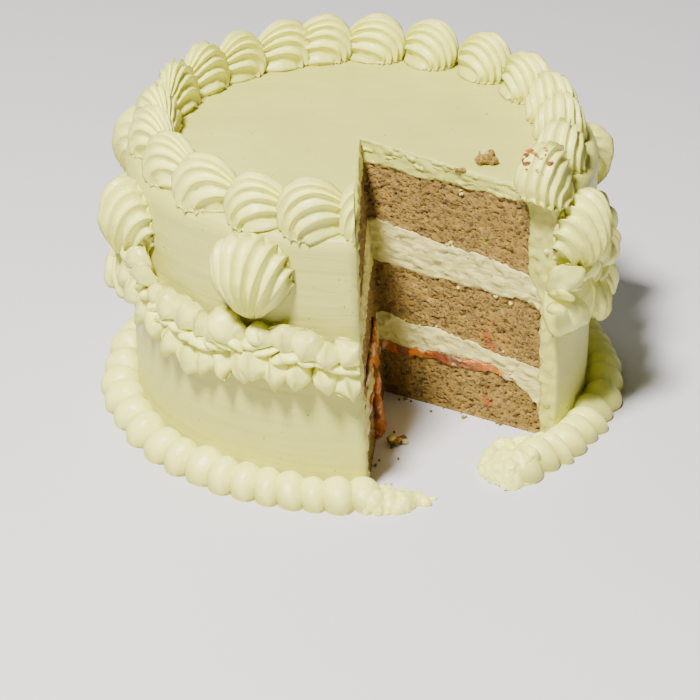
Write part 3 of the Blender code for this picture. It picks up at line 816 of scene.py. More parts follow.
def stood_on_points(nodes, given, instance, picked):
    """Stand instances on the points, turned and sized by their attributes, and picked by kind if asked."""
    read = {name: nodes.add("GeometryNodeInputNamedAttribute", {"data_type": kind}, {"Name": name})
            for name, kind in POINT_ATTRIBUTES}
    turned = nodes.add("FunctionNodeEulerToRotation", None, {0: read["turn"]})
    sockets = {"Points": nodes.other(given, "Points"), "Instance": instance, "Pick Instance": picked,
               "Instance Index": read["kind"], "Rotation": turned, "Scale": read["size"]}
    placed = nodes.add("GeometryNodeInstanceOnPoints", None, sockets)
    return nodes.add("GeometryNodeRealizeInstances", None, {"Geometry": placed})


def end_tree(nodes, given, geometry):
    """Close a tree with one real mesh in the given material."""
    real = nodes.add("GeometryNodeRealizeInstances", None, {"Geometry": geometry})
    sockets = {"Geometry": real, "Material": nodes.other(given, "Material")}
    nodes.add("NodeGroupOutput", None, {"Geometry": nodes.add("GeometryNodeSetMaterial", None, sockets)})


def shell_tree():
    """One piped shell. Its ridges start together at the tail, rise and fan out over the head to the base.

    The flat base lies at Z = 0, the head at -X and the tail at +X. Without ridges it is a bead or a petal.
    """
    found = bpy.data.node_groups.get("piped_shell")
    if found:
        return found
    tree = new_tree("piped_shell", SHELL_SIZES, SHELL_COUNTS)
    nodes = Nodes(tree)
    given = nodes.add("NodeGroupInput")
    values = [nodes.other(given, name) for name, _ in SHELL_SIZES]
    length, width, height, head, splay, peak, fullness, point, shade, tail_height, bow = values[:11]
    tail_rise, ridges, depth, twist, curl, uneven, lump_scale, seed = values[11:]
    sockets = {"Size X": 1.0, "Size Y": 1.0, "Vertices X": nodes.other(given, "Rings"),
               "Vertices Y": nodes.other(given, "Columns")}
    grid = nodes.add("GeometryNodeMeshGrid", None, sockets)
    along, across, _ = nodes.split(nodes.other(grid, "UV Map"))
    side = across * 2 - 1
    rise = (along / RISE_SHARE).clamp()
    drop = ((along - RISE_SHARE) / (1 - RISE_SHARE)).clamp() * DROP_TURN
    reach = peak * rise + (1 - peak) * drop.sine()
    low = math.cos(DROP_TURN)
    rising = tail_height + (1 - tail_height) * (rise * (math.pi / 2)).sine().at_least(0.0) ** tail_rise
    profile = rising * ((drop.cosine() - low) / (1 - low))
    dome = (side * (math.pi / 2)).cosine().at_least(0.0) ** DOME_POWER
    turn = side * splay
    rim_x = (head - 0.5) * length - turn.cosine() * head * length
    tail_x = length * 0.5
    x = tail_x + (rim_x - tail_x) * reach
    widened = 1 - (1 - reach).at_least(0.0) ** fullness
    y = turn.sine() * (turn.sine().absolute() + 0.001) ** point * width * 0.5 * widened
    y = y + (reach * math.pi).sine() * side * bow * width
    y = y + (1 - reach) * (1 - reach) * curl * width
    places = [nodes.vector(x, y, z) for z in (height * profile * dome, 0.0)]
    upper, lower = (nodes.add("GeometryNodeSetPosition", None, {"Geometry": grid, "Position": place})
                    for place in places)
    lower = nodes.add("GeometryNodeFlipFaces", None, {"Mesh": lower})
    both = nodes.add("GeometryNodeJoinGeometry", None, {0: lower})
    tree.links.new(upper.socket, both.socket.node.inputs[0])
    welded = nodes.add("GeometryNodeMergeByDistance", None, {"Geometry": both, "Distance": WELD})
    wave = ((across * ridges + twist * along) * math.pi).sine().absolute() ** RIDGE_POWER
    groove = (wave - RIDGE_MIDDLE) * depth * (along / 0.22).clamp()
    # Painted shade: crease darkens the piping in the grooves, at the low edges, and by Shade at the foot and
    # sides
    crease = (1 - wave.clamp()) ** CREASE_POWER * ridges.clamp() * (along / 0.15).clamp()
    crease = crease.at_least(1 - (profile * dome * 2.4).clamp())
    crease = crease.at_least(((along - 0.64) / 0.2).clamp() * shade)
    crease = crease.at_least(((side.absolute() - 0.66) / 0.3).clamp() * shade)
    welded = nodes.add("GeometryNodeStoreNamedAttribute", {"data_type": "FLOAT", "domain": "POINT"},
                       {"Geometry": welded, "Name": "crease", "Value": crease})
    place = nodes.add("GeometryNodeInputPosition")
    lift = groove + lumpy(nodes, place, lump_scale, seed, uneven)
    end_tree(nodes, given, lifted(nodes, welded, place, lift))
    return tree


# The sizes that a row hands on to its shells, and its own
# Shade is how much painted shade darkens a lump towards the foot of its head and at its sides
SHARED_SIZES = (("Splay", 1.9), ("Peak", 0.58), ("Head", 0.5), ("Fullness", 1.0), ("Shade", 0.8),
                ("Tail Rise", 1.0), ("Bow", 0.06))
ROW_SIZES = SHARED_SIZES + (
    ("Soft Ridges", 0.0), ("Soft Depth", 0.0), ("Round Tip", 0.0), ("Pointed Tip", 0.8),
    ("Unevenness", 0.0005), ("Lump Scale", 170.0))


def row_tree():
    """A row of piped lumps. A point's kind makes its lump round (0), pointed (1) or smooth (2)."""
    found = bpy.data.node_groups.get("piped_row")
    if found:
        return found
    tree = new_tree("piped_row", ROW_SIZES, SHELL_COUNTS, points=True)
    nodes = Nodes(tree)
    given = nodes.add("NodeGroupInput")
    kinds = []
    for tip, ridged in (("Round Tip", 1), ("Pointed Tip", 1), ("Round Tip", 0)):
        values = {name: nodes.other(given, name) for name, _ in SHARED_SIZES + SHELL_COUNTS}
        values.update({"Ridges": nodes.other(given, "Soft Ridges") * ridged,
                       "Ridge Depth": nodes.other(given, "Soft Depth") * ridged,
                       "Point": nodes.other(given, tip)})
        shell = nodes.add("GeometryNodeGroup", {"node_tree": shell_tree()}, values)
        kinds.append(nodes.add("GeometryNodeGeometryToInstance", None, {0: shell}))
    both = nodes.add("GeometryNodeJoinGeometry", None, {0: kinds[2]})
    for kind in (kinds[1], kinds[0]):
        tree.links.new(kind.socket, both.socket.node.inputs[0])
    row = stood_on_points(nodes, given, both, True)
    place = nodes.add("GeometryNodeInputPosition")
    lift = lumpy(nodes, place, nodes.other(given, "Lump Scale"), 0.0, nodes.other(given, "Unevenness"))
    end_tree(nodes, given, lifted(nodes, row, place, lift, grounded=False))
    return tree


def grown(name, tree, values, mesh=None, finish="piping"):
    """Object whose mesh a geometry node tree makes, as a plain mesh."""
    ob = bpy.data.objects.new(name, mesh or bpy.data.meshes.new(name))
    bpy.context.scene.collection.objects.link(ob)
    modifier = ob.modifiers.new("piping", "NODES")
    modifier.node_group = tree
    sockets = {item.name: item.identifier for item in tree.interface.items_tree if item.in_out == "INPUT"}
    for key, value in {**values, "Material": finish_named(finish)}.items():
        modifier[sockets[key]] = value
    bpy.context.view_layer.update()
    evaluated = ob.evaluated_get(bpy.context.evaluated_depsgraph_get())
    made = bpy.data.meshes.new_from_object(evaluated)
    ob.modifiers.clear()
    ob.data = made
    return ob


def sown_points(name, lumps):
    """Mesh of points with a turn, size and kind, from each lump's frame, its size and its kind."""
    mesh = bpy.data.meshes.new(name + "_points")
    mesh.from_pydata([frame_at.translation for frame_at, _, _ in lumps], [], [])
    for attribute, kind in POINT_ATTRIBUTES:
        mesh.attributes.new(attribute, kind, "POINT")
    turns, lump_sizes, kinds = (mesh.attributes[attribute].data for attribute, _ in POINT_ATTRIBUTES)
    for index, (frame_at, lump_size, kind) in enumerate(lumps):
        turns[index].vector = frame_at.to_3x3().to_euler()
        lump_sizes[index].vector = lump_size
        kinds[index].value = kind
    return mesh


def piped_row(name, lumps, values):
    """A row of lumps, each given as its frame, its length, width and height, and its kind."""
    return grown(name, row_tree(), values, sown_points(name, lumps))


def shave(mesh, edge, z):
    """Cut a piece off at one of the knife cuts, near a height, and close it."""
    at = np.array([z, z + 0.01])
    corner = between(CUT_CORNER, at)
    outer = between(edge, at)
    low = Vector((*outer[0], at[0]))
    high = Vector((*outer[1], at[1]))
    along = low - Vector((*corner[0], at[0]))
    normal = (high - low).cross(along).normalized()
    if (Vector((*IN_GAP, z)) - low).dot(normal) < 0:
        normal.negate()
    bm = bmesh.new()
    bm.from_mesh(mesh)
    geometry = bm.verts[:] + bm.edges[:] + bm.faces[:]
    bmesh.ops.bisect_plane(bm, geom=geometry, dist=0.000001, plane_co=low, plane_no=normal, clear_outer=True)
    open_edges = [edge_at for edge_at in bm.edges if edge_at.is_boundary]
    bmesh.ops.holes_fill(bm, edges=open_edges, sides=0)
    bm.to_mesh(mesh)
    bm.free()
    mesh.set_sharp_from_angle(angle=math.radians(60))


def ring_radius(azimuth):
    """Radius at which a top shell lies."""
    angle = math.radians(azimuth)
    oval = RING + RING_OVAL * math.sin(angle) ** 2 + RING_ASIDE * math.cos(angle)
    return CAKE_RADIUS * (oval + RIM_SHIFT * math.exp(-((azimuth - RIM_AZIMUTH) / RIM_SPREAD) ** 2))


def settle(mesh):
    """Let a shell sag onto the rounded rim."""
    for vert in mesh.vertices:
        past = max(0.0, vert.co.to_2d().length - SAG_FROM) / SAG_WIDTH
        vert.co.z -= SAG_DEPTH * min(past, SAG_MOST) ** 2


class CAKE_OT_top_shells(bpy.types.Operator):
    """Shells round the top, each head over the tail of the one before"""

    bl_idname = "cake.top_shells"
    bl_label = "Top Shells"

    def execute(self, context):
        """Build the shells, seeded as the solids are."""
        given = sizes()
        for index, azimuth in enumerate(TOP_SHELLS):
            chance = random.Random(TOP_SEED + index)
            side = math.cos(math.radians(azimuth))
            width = given.shell_width + given.shell_extra * max(0.0, side)
            lengths = (given.shell_length, width, given.shell_height)
            length, width, height = [value * chance.uniform(0.95, 1.05) for value in lengths]
            inward = 90 + TAIL_INWARD * max(0.0, -side) + chance.uniform(-5, 5)
            place = Matrix.Translation(polar(azimuth, ring_radius(azimuth), CAKE_HEIGHT))
            place = place @ Matrix.Rotation(math.radians(azimuth + inward), 4, "Z")
            ridges = chance.choice((9, 10, 10))
            scallop = 150 < azimuth % 360 < 242
            stretch, splay, point, fullness, tail = (
                (1.04, 2.0, 0.0, 1.3, 0.15) if scallop else (0.93, 1.62, -0.18, 1.9, 0.35))
            values = {"Length": length * stretch, "Width": width * 0.93, "Height": height * 1.05,
                      "Head": 0.38, "Splay": splay, "Peak": 0.6, "Point": point, "Fullness": fullness,
                      "Bow": 0.02,
                      "Tail Rise": 0.7, "Tail Height": tail, "Ridges": float(ridges),
                      "Ridge Depth": given.ridge_depth * chance.uniform(1.5, 1.85),
                      "Twist": chance.uniform(-0.5, 0.5), "Curl": chance.uniform(-0.12, 0.12),
                      "Unevenness": 0.0014, "Seed": float(index), "Rings": 48, "Columns": ridges * 12 + 1}
            name = f"top_shell_{index + 1:02d}"
            ob = grown(name + "_fine", shell_tree(), values)
            ob.data.transform(place)
            settle(ob.data)
            if index == 0:
                shave(ob.data, CUT_LEFT, CAKE_HEIGHT)
            finish_piece(ob, "piping", "piping", name)
        return {"FINISHED"}


def hug_wall(mesh, azimuth):
    """Bend a piece made on the plane that touches the wall, so that its flat back fits the wall."""
    out = polar(azimuth, 1.0, 0.0).to_2d()
    for vert in mesh.vertices:
        flat = vert.co.to_2d()
        radius = flat.length
        bent = radius - WALL * (radius / flat.dot(out) - 1)
        vert.co.x *= bent / radius
        vert.co.y *= bent / radius


def wall_frame(azimuth, radius, z, pointing, lean, tilt):
    """Frame on the wall: X points up or down it, Z outwards; it leans sideways and tilts off the wall."""
    out = polar(azimuth, 1.0, 0.0)
    along = Vector((0, 0, pointing))
    turned = Matrix((along, out.cross(along), out)).transposed().to_4x4()
    turned = turned @ Matrix.Rotation(lean, 4, "Z") @ Matrix.Rotation(tilt, 4, "Y")
    return Matrix.Translation(polar(azimuth, radius, z)) @ turned


class CAKE_OT_side_shells(bpy.types.Operator):
    """Upright fans on the wall"""

    bl_idname = "cake.side_shells"
    bl_label = "Fans"

    def execute(self, context):
        """Build the fans, seeded as the solids are."""
        given = sizes()
        for index, (azimuth, middle, scale) in enumerate(SIDE_SHELLS):
            chance = random.Random(FAN_SEED + index)
            place = wall_frame(azimuth, WALL - GAP, middle, -1, chance.uniform(-0.1, 0.1), 0.0)
            length, width, height = [value * scale * chance.uniform(0.97, 1.03)
                                     for value in (given.fan_length, given.fan_width, given.fan_height)]
            values = {"Length": length, "Width": width, "Height": height, "Head": 0.44, "Splay": 2.0,
                      "Peak": 0.58, "Fullness": 1.3, "Tail Rise": 0.7, "Bow": -0.02, "Ridges": 11.0,
                      "Ridge Depth": given.ridge_depth * 2.1,
                      "Twist": chance.uniform(-0.3, 0.3), "Curl": chance.uniform(-0.05, 0.05),
                      "Unevenness": 0.0014, "Seed": 40.0 + index, "Rings": 70, "Columns": 133}
            name = f"side_shell_{index + 1}"
            ob = grown(name + "_fine", shell_tree(), values)
            ob.data.transform(place)
            hug_wall(ob.data, azimuth)
            finish_piece(ob, "piping", "piping", name)
        return {"FINISHED"}


def groove_height(azimuth):
    """Height of the groove between the garland's rows."""
    for index, (start, peak, dip) in enumerate(SWAGS):
        end, following, _ = SWAGS[(index + 1) % len(SWAGS)]
        t = ((azimuth - start) % 360) / ((end - start) % 360)
        if t <= 1:
            return dip + (peak - dip) * (1 - t) ** SWAG_POWER + (following - dip) * t ** SWAG_POWER
    return SWAGS[0][1]


def swag_steps(start, end, pitch, chance):
    """Azimuths of a stroke's lumps, closer where it is steep, with the slope at each."""
    steps = []
    azimuth = start
    while azimuth < end:
        slope = (groove_height(azimuth + 1) - groove_height(azimuth - 1)) / (WALL * math.radians(2))
        steps.append((azimuth, slope))
        azimuth += math.degrees(pitch * chance.uniform(0.8, 1.2) / WALL) / math.hypot(1, slope)
    return steps


def seam_lumps(start, end, chance):
    """Short thin ropes along the groove between the rows, each over the end of the one before."""
    lumps = []
    for azimuth, slope in swag_steps(start, end, 0.0048, chance):
        if GARLAND_STOPS < azimuth < GARLAND_RETURNS - 1:
            continue
        z = groove_height(azimuth) + chance.uniform(-0.001, 0.0012)
        lean = math.pi / 2 - math.atan(slope) + chance.uniform(-0.35, 0.35)
        place = wall_frame(azimuth, WALL + 0.0024, z, -1, lean, 0.0)
        lumps.append((place, (chance.uniform(0.0085, 0.0125), chance.uniform(0.0034, 0.0048), 0.0048), 2))
    return lumps


def swag_blobs(index):
    """Smooth lumps beside the tail of the fan where two swags meet."""
    lumps = []
    for at, offset, z, lump_size in SWAG_BLOBS:
        if at == index:
            azimuth = SWAGS[index][0] + offset
            place = wall_frame(azimuth, WALL + 0.001, z, -1, 0.8 if offset < 0 else 1.3, 0.0)
            lumps.append((place, lump_size, 2))
    return lumps


class CAKE_OT_garland(bpy.types.Operator):
    """Two rows of petals in swags round the wall, the upper ones pointing up and the lower ones down"""

    bl_idname = "cake.garland"
    bl_label = "Garland"

    def execute(self, context):
        """Build each swag's two strokes."""
        given = sizes()
        rows = (("garland_upper", 1, 0.0072, 0.95, 0.0058, 0.0004, 3.0),
                ("garland_lower", -1, 0.008, 1.26, 0.0066, -0.0004, 1.0))
        for row, (row_name, side, pitch, share, height, root, margin) in enumerate(rows):
            for index, (start, _, _) in enumerate(SWAGS):
                end = SWAGS[(index + 1) % len(SWAGS)][0]
                end += 360 if end < start else 0
                chance = random.Random(GARLAND_SEED + 20 * row + index)
                lumps = []
                for azimuth, slope in swag_steps(start + margin, end - margin, pitch, chance):
                    if GARLAND_STOPS < azimuth < GARLAND_RETURNS:
                        continue
                    shown = sum(most * math.exp(-((azimuth - at) / spread) ** 2)
                                for at, spread, most in LARGE_AT)
                    large = (1 + 0.28 * shown) * chance.choice((0.82, 0.95, 1.0, 1.08, 1.22))
                    length = given.petal_length * share * large * chance.uniform(0.92, 1.1)
                    width = given.petal_width * large * chance.uniform(1.15, 1.55)
                    thick = height * chance.uniform(0.75, 1.2)
                    lean = chance.uniform(-0.42, 0.42) - side * 0.22 - side * 0.35 * math.atan(slope)
                    tilt = 0.26 + chance.uniform(-0.16, 0.3)
                    z = groove_height(azimuth) + root + side * 0.38 * length
                    place = wall_frame(azimuth, WALL + chance.uniform(0.0004, 0.0022), z, -side, lean, tilt)
                    lumps.append((place, (length, width, thick), int(chance.random() < 0.35)))
                if side > 0:
                    lumps += seam_lumps(start + 1.0, end - 1.0, chance) + swag_blobs(index)
                name = f"{row_name}_{index + 1}"
                values = {"Soft Ridges": 2.0, "Soft Depth": 0.12, "Unevenness": 0.0022, "Splay": 1.6,
                          "Lump Scale": 170.0, "Fullness": 2.0, "Tail Rise": 0.55, "Head": 0.4, "Bow": 0.0,
                          "Pointed Tip": 1.1, "Rings": 21, "Columns": 25}
                ob = piped_row(name + "_fine", lumps, values)
                if index == 1:
                    shave(ob.data, CUT_LEFT, 0.05)
                finish_piece(ob, "piping", "piping", name)
        return {"FINISHED"}


def border_creases():
    """Azimuths of the creases between the beads, as the photo shows them, and evenly where it doesn't."""
    chance = random.Random(CREASE_SEED)
    creases = list(RIGHT_CREASES)
    while creases[-1] < FRONT_CREASES[0] + 355:
        creases.append(creases[-1] + chance.uniform(5.4, 7.4))
    fit = (FRONT_CREASES[0] + 360 - RIGHT_CREASES[-1]) / (creases[-1] - RIGHT_CREASES[-1])
    shown = len(RIGHT_CREASES)
    creases[shown:] = [RIGHT_CREASES[-1] + (azimuth - RIGHT_CREASES[-1]) * fit for azimuth in creases[shown:]]
    return creases + [azimuth + 360 for azimuth in FRONT_CREASES[1:]] + [272.0]


class CAKE_OT_border(bpy.types.Operator):
    """Beads round the foot of the cake"""

    bl_idname = "cake.border"
    bl_label = "Border"

    def execute(self, context):
        """Build the row of beads."""
        given = sizes()
        chance = random.Random(BEAD_SEED)
        creases = border_creases()
        lumps = []
        for crease, following in zip(creases, creases[1:]):
            span = math.radians(following - crease) * BORDER_RADIUS
            middle = crease + math.degrees(0.78 * span / BORDER_RADIUS)
            length = min(span * 1.45, given.bead_length)
            width = 0.016 * chance.uniform(0.96, 1.06)
            height = given.bead_height * chance.uniform(1.0, 1.18)
            radius = BORDER_RADIUS - width / 2 + chance.uniform(-0.0004, 0.001)
            place = Matrix.Translation(polar(middle, radius, 0.0))
            place = place @ Matrix.Rotation(math.radians(middle + 90 + 20 + chance.uniform(-5, 5)), 4, "Z")
            lumps.append((place, (length, width, height), 0))
        # Shade 0.95 paints strong shade at the beads' feet and sides
        values = {"Unevenness": 0.0012, "Lump Scale": 120.0, "Splay": 1.75, "Head": 0.46, "Fullness": 1.9,
                  "Tail Rise": 0.6, "Bow": 0.0, "Peak": 0.5, "Shade": 0.95, "Rings": 26, "Columns": 26}
        ob = piped_row("base_border_fine", lumps, values)
        finish_piece(ob, "piping", "piping", "base_border")
        return {"FINISHED"}


LUMP_SIZES = (("Unevenness", 0.001), ("Lump Scale", 400.0), ("Fine Unevenness", 0.0), ("Fine Scale", 1500.0),
              ("Voxel", 0.0005))


def lump_tree(name, melted):
    """Uneven round lumps on points, each with its turn and size. Melted ones run into one mass."""
    found = bpy.data.node_groups.get(name)
    if found:
        return found
    tree = new_tree(name, LUMP_SIZES, (("Detail", 2),), points=True)
    nodes = Nodes(tree)
    given = nodes.add("NodeGroupInput")
    sockets = {"Radius": 0.5, "Subdivisions": nodes.other(given, "Detail")}
    solid = stood_on_points(nodes, given, nodes.add("GeometryNodeMeshIcoSphere", None, sockets), False)
    if melted:
        voxel = nodes.other(given, "Voxel")
        fog = nodes.add("GeometryNodeMeshToVolume", {"resolution_mode": "VOXEL_SIZE"},
                        {"Mesh": solid, "Voxel Size": voxel, "Interior Band Width": 0.002})
        solid = nodes.add("GeometryNodeVolumeToMesh", {"resolution_mode": "VOXEL_SIZE"},
                          {"Volume": fog, "Voxel Size": voxel, "Threshold": 0.1})
    place = nodes.add("GeometryNodeInputPosition")
    lift = lumpy(nodes, place, nodes.other(given, "Lump Scale"), 0.0, nodes.other(given, "Unevenness"))
    fine = nodes.other(given, "Fine Unevenness")
    lift = lift + lumpy(nodes, place, nodes.other(given, "Fine Scale"), 3.0, fine)
    end_tree(nodes, given, lifted(nodes, solid, place, lift))
    return tree


def lump_at(x, y, z, length, width, height, turn=0.0):
    """A lump's frame, size and kind."""
    place = Matrix.Translation((x, y, z)) @ Matrix.Rotation(math.radians(turn), 4, "Z")
    return (place, (length, width, height), 0)


def on_cut(edge, share, z, off):
    """Point on a knife cut, at a share of the way out and a height, and so far off it into the gap."""
    height = np.array([z])
    corner, outer = between(CUT_CORNER, height)[0], between(edge, height)[0]
    flat = corner + (outer - corner) * share
    along = (outer - corner) / np.linalg.norm(outer - corner)
    aside = np.array([along[1], -along[0]])
    if aside @ (np.array(IN_GAP) - flat) < 0:
        aside = -aside
    return Vector((*(flat + aside * off), z))


# Melted lumps: broad and fine unevenness, each with its scale, then the voxels and the balls' detail
MELTED = ("Unevenness", "Lump Scale", "Fine Unevenness", "Fine Scale", "Voxel", "Detail")
SCRAP_NUMBERS = (0.0045, 170.0, 0.0008, 600.0, 0.0005, 3)
EDGE_NUMBERS = (0.0016, 450.0, 0.0006, 1200.0, 0.00035, 2)
DRIP_NUMBERS = (0.0016, 260.0, 0.0008, 800.0, 0.0005, 3)


def melted(name, lumps, numbers, finish, slot_name, *nodes):
    """Lumps that run into one piece."""
    values = dict(zip(MELTED, numbers))
    ob = grown(name, lump_tree("melted_lumps", True), values, sown_points(name, lumps), finish)
    return finish_piece(ob, finish, slot_name, *nodes)


# Squashed icing in front of the gap: azimuth, radius, length along the border, width, height
SCRAP_LUMPS = ((-88.0, 0.0885, 0.012, 0.015, 0.013), (-84.5, 0.088, 0.01, 0.014, 0.011),
               (-81.0, 0.0888, 0.01, 0.012, 0.01), (-82.5, 0.0925, 0.008, 0.006, 0.007),
               (-78.2, 0.0885, 0.007, 0.008, 0.007), (-79.5, 0.085, 0.006, 0.006, 0.005),
               (-76.6, 0.0905, 0.005, 0.005, 0.004), (-86.0, 0.082, 0.007, 0.006, 0.006),
               (-74.8, 0.088, 0.004, 0.003, 0.0024), (-73.5, 0.0915, 0.003, 0.0024, 0.0018))
# Icing pushed off the foot of the right cut: x, y, length, width, height, turn
SMEAR_LUMPS = ((0.047, -0.07, 0.0125, 0.015, 0.015, 20.0), (0.0445, -0.0625, 0.008, 0.011, 0.012, -10.0),
               (0.049, -0.056, 0.009, 0.009, 0.012, 30.0), (0.055, -0.0525, 0.01, 0.007, 0.011, 15.0),
               (0.061, -0.05, 0.008, 0.006, 0.008, 20.0), (0.0425, -0.069, 0.006, 0.007, 0.008, 0.0),
               (0.0525, -0.064, 0.012, 0.012, 0.012, 45.0), (0.049, -0.0765, 0.007, 0.008, 0.012, 0.0),
               (0.056, -0.06, 0.011, 0.01, 0.012, 30.0), (0.053, -0.071, 0.011, 0.013, 0.0205, 50.0),
               (0.05, -0.074, 0.009, 0.011, 0.019, 20.0), (0.0565, -0.068, 0.009, 0.011, 0.02, 60.0),
               (0.048, -0.068, 0.008, 0.012, 0.019, 0.0), (0.042, -0.0655, 0.007, 0.006, 0.01, 0.0))


# Fruit spread run down the left cut: share of the way out, height, length, thickness, how tall
DRIP_LUMPS = ((0.22, 0.0325, 0.014, 0.0022, 0.006), (0.34, 0.032, 0.014, 0.0024, 0.0075),
              (0.46, 0.0325, 0.014, 0.0022, 0.007), (0.58, 0.033, 0.014, 0.002, 0.0056),
              (0.7, 0.0328, 0.012, 0.0018, 0.0044), (0.36, 0.0265, 0.011, 0.0026, 0.011),
              (0.43, 0.0215, 0.009, 0.0028, 0.012), (0.37, 0.016, 0.009, 0.0034, 0.012),
              (0.42, 0.0105, 0.008, 0.004, 0.012), (0.4, 0.0055, 0.009, 0.005, 0.01),
              (0.42, 0.0015, 0.011, 0.0062, 0.0034))


class CAKE_OT_scraps(bpy.types.Operator):
    """Squashed icing in front of the gap and beside the right cut"""

    bl_idname = "cake.scraps"
    bl_label = "Scraps"

    def execute(self, context):
        """Build both from lumps that run into each other."""
        chance = random.Random(SCRAP_SEED)
        lumps = []
        for azimuth, radius, length, width, height in SCRAP_LUMPS:
            x, y, _ = polar(azimuth, radius, 0.0)
            lumps.append(lump_at(x, y, 0.0, length, width, height, azimuth + 90 + chance.uniform(-25, 25)))
        melted("base_border_scrap_fine", lumps, SCRAP_NUMBERS, "piping", "piping", "base_border_scrap")
        lumps = [lump_at(x, y, 0.0, *rest) for x, y, *rest in SMEAR_LUMPS]
        melted("border_smear", lumps, SCRAP_NUMBERS, "piping", "piping")
        return {"FINISHED"}


def scattered(name, finish, slot_name, lumps, detail, uneven, scale):
    """Loose crumbs of one finish."""
    values = {"Unevenness": uneven, "Lump Scale": scale, "Detail": detail}
    ob = grown(name, lump_tree("loose_lumps", False), values, sown_points(name, lumps), finish)
    return finish_piece(ob, finish, slot_name)


class CAKE_OT_crumbs(bpy.types.Operator):
    """Crumbs on the top, ground, cuts and last shell, torn icing on the cut, and the spread's drip"""

    bl_idname = "cake.crumbs"
    bl_label = "Crumbs"

    def execute(self, context):
        """Build the crumbs, the torn icing and the drip, each kind one piece."""
        chance = random.Random(CRUMB_SEED)
        height = CAKE_HEIGHT
        tan = [lump_at(0.0422, -0.023, height + 0.0022, 0.0052, 0.0048, 0.005, 20),
               lump_at(0.0442, -0.024, height + 0.0013, 0.0034, 0.0032, 0.0032, 0),
               lump_at(0.04, -0.0238, height + 0.0014, 0.004, 0.0034, 0.0034, 60),
               lump_at(0.0436, -0.0222, height + 0.003, 0.0028, 0.0028, 0.0026, 0),
               lump_at(0.0408, -0.0222, height + 0.003, 0.0026, 0.0026, 0.0026, 0),
               lump_at(0.0329, -0.0287, height + 0.0002, 0.0044, 0.0018, 0.001, -25),
               lump_at(0.011, -0.05, 0.0014, 0.0046, 0.004, 0.0034, 30),
               lump_at(0.014, -0.0484, 0.001, 0.0034, 0.0028, 0.0024, 0)]
        for _ in range(22):
            share = chance.uniform(0.05, 1.0)
            edge = CUT_RIGHT if chance.random() < 0.7 else CUT_LEFT
            foot = on_cut(edge, share, 0.0, 0.0007 + chance.random() ** 3 * 0.01)
            across = chance.uniform(0.0005, 0.0015)
            turn = chance.uniform(0, 180)
            tan.append(lump_at(foot.x, foot.y, across * 0.3, across, across * 0.8, across * 0.8, turn))
        scattered("crumbs_sponge", "sponge", "sponge", tan, 4, 0.0022, 560.0)
        orange = [lump_at(0.0124, -0.0512, 0.0026, 0.0026, 0.0022, 0.002, 0),
                  lump_at(0.0098, -0.0486, 0.0012, 0.003, 0.0024, 0.0022, 0)]
        last = polar(TOP_SHELLS[-1], ring_radius(TOP_SHELLS[-1]), height)
        shell = bpy.data.objects[f"top_shell_{len(TOP_SHELLS):02d}_fine"]
        for _ in range(22):
            spot = last + polar(chance.uniform(165, 275), chance.uniform(0.003, 0.0105), 0.03)
            hit, at, _, _ = shell.ray_cast(spot, Vector((0, 0, -1)))
            across = chance.uniform(0.0008, 0.0022)
            if hit:
                orange.append(lump_at(*at, across * 1.8, across, across * 0.35, chance.uniform(0, 180)))
        scattered("crumbs_fruit", "fruit", "fruit_spread", orange, 2, 0.0007, 700.0)
        flecks = [lump_at(0.0414, -0.0232, height + 0.0042, 0.003, 0.0026, 0.0022, 0),
                  lump_at(*on_cut(CUT_RIGHT, 0.955, 0.074, 0.0003), 0.0022, 0.002, 0.0018),
                  lump_at(0.0103, -0.0508, 0.003, 0.0034, 0.0026, 0.0022, 40),
                  lump_at(0.0146, -0.05, 0.001, 0.0026, 0.0022, 0.0018, 0)]
        for _ in range(26):
            share = chance.uniform(0.03, 0.9)
            z = chance.choice((0.0205, 0.031, 0.05, 0.0515, 0.064, 0.0862, 0.088))
            spot = on_cut(CUT_RIGHT, share, z + chance.gauss(0, 0.0012), 0.0)
            across = chance.uniform(0.0005, 0.0013)
            flecks.append(lump_at(*spot, across * 1.3, across * 0.8, across * 0.8, chance.uniform(0, 180)))
        scattered("crumbs_cream", "filling", "filling_cream", flecks, 3, 0.0015, 1700.0)
        chunks = []
        for _ in range(60):
            depth = chance.random() ** 2 * 0.005
            spot = on_cut(CUT_RIGHT, chance.uniform(0.01, 0.84), height - 0.0004 - depth, -0.0005)
            across = chance.uniform(0.0012, 0.003)
            chunks.append(lump_at(*spot, across * 2.4, across * 0.9, across * 0.7, chance.uniform(-40, -20)))
        melted("cut_edge_cream", chunks, EDGE_NUMBERS, "icing", "icing")
        drips = []
        for share, z, length, thick, tall in DRIP_LUMPS:
            spot = on_cut(CUT_LEFT, share, z, 0.0004)
            drips.append(lump_at(*spot, thick, length, tall, chance.uniform(-20, 20)))
        melted("spread_drip", drips, DRIP_NUMBERS, "fruit", "fruit_spread")
        return {"FINISHED"}


def camera_matrix():
    """Frame of the camera, turned a little from its line to the cake."""
    place = Vector((0, -math.cos(CAMERA_ELEVATION), math.sin(CAMERA_ELEVATION))) * CAMERA_DISTANCE
    forward = -place.normalized()
    right = Vector((1, 0, 0))
    up = right.cross(forward)
    look = forward + math.tan(math.radians(CAMERA_PAN)) * right + math.tan(math.radians(CAMERA_TILT)) * up
    look.normalize()
    side = look.cross(Vector((0, 0, 1))).normalized()
    over = side.cross(look)
    roll = math.radians(CAMERA_ROLL)
    across = math.cos(roll) * side + math.sin(roll) * over
    upright = -math.sin(roll) * side + math.cos(roll) * over
    turned = Matrix((across, upright, -look)).transposed().to_4x4()
    return Matrix.Translation(place) @ turned


def add_light(name, place, size, power, tint):
    """Soft square light that looks at the middle of the cake."""
    data = bpy.data.lights.new(name, "AREA")
    data.shape = "SQUARE"
    data.size = size
    data.energy = power
    data.color = tint
    ob = bpy.data.objects.new(name, data)
    ob.location = place
    ob.rotation_euler = (Vector(LOOK_AT) - Vector(place)).to_track_quat("-Z", "Y").to_euler()
    bpy.context.scene.collection.objects.link(ob)


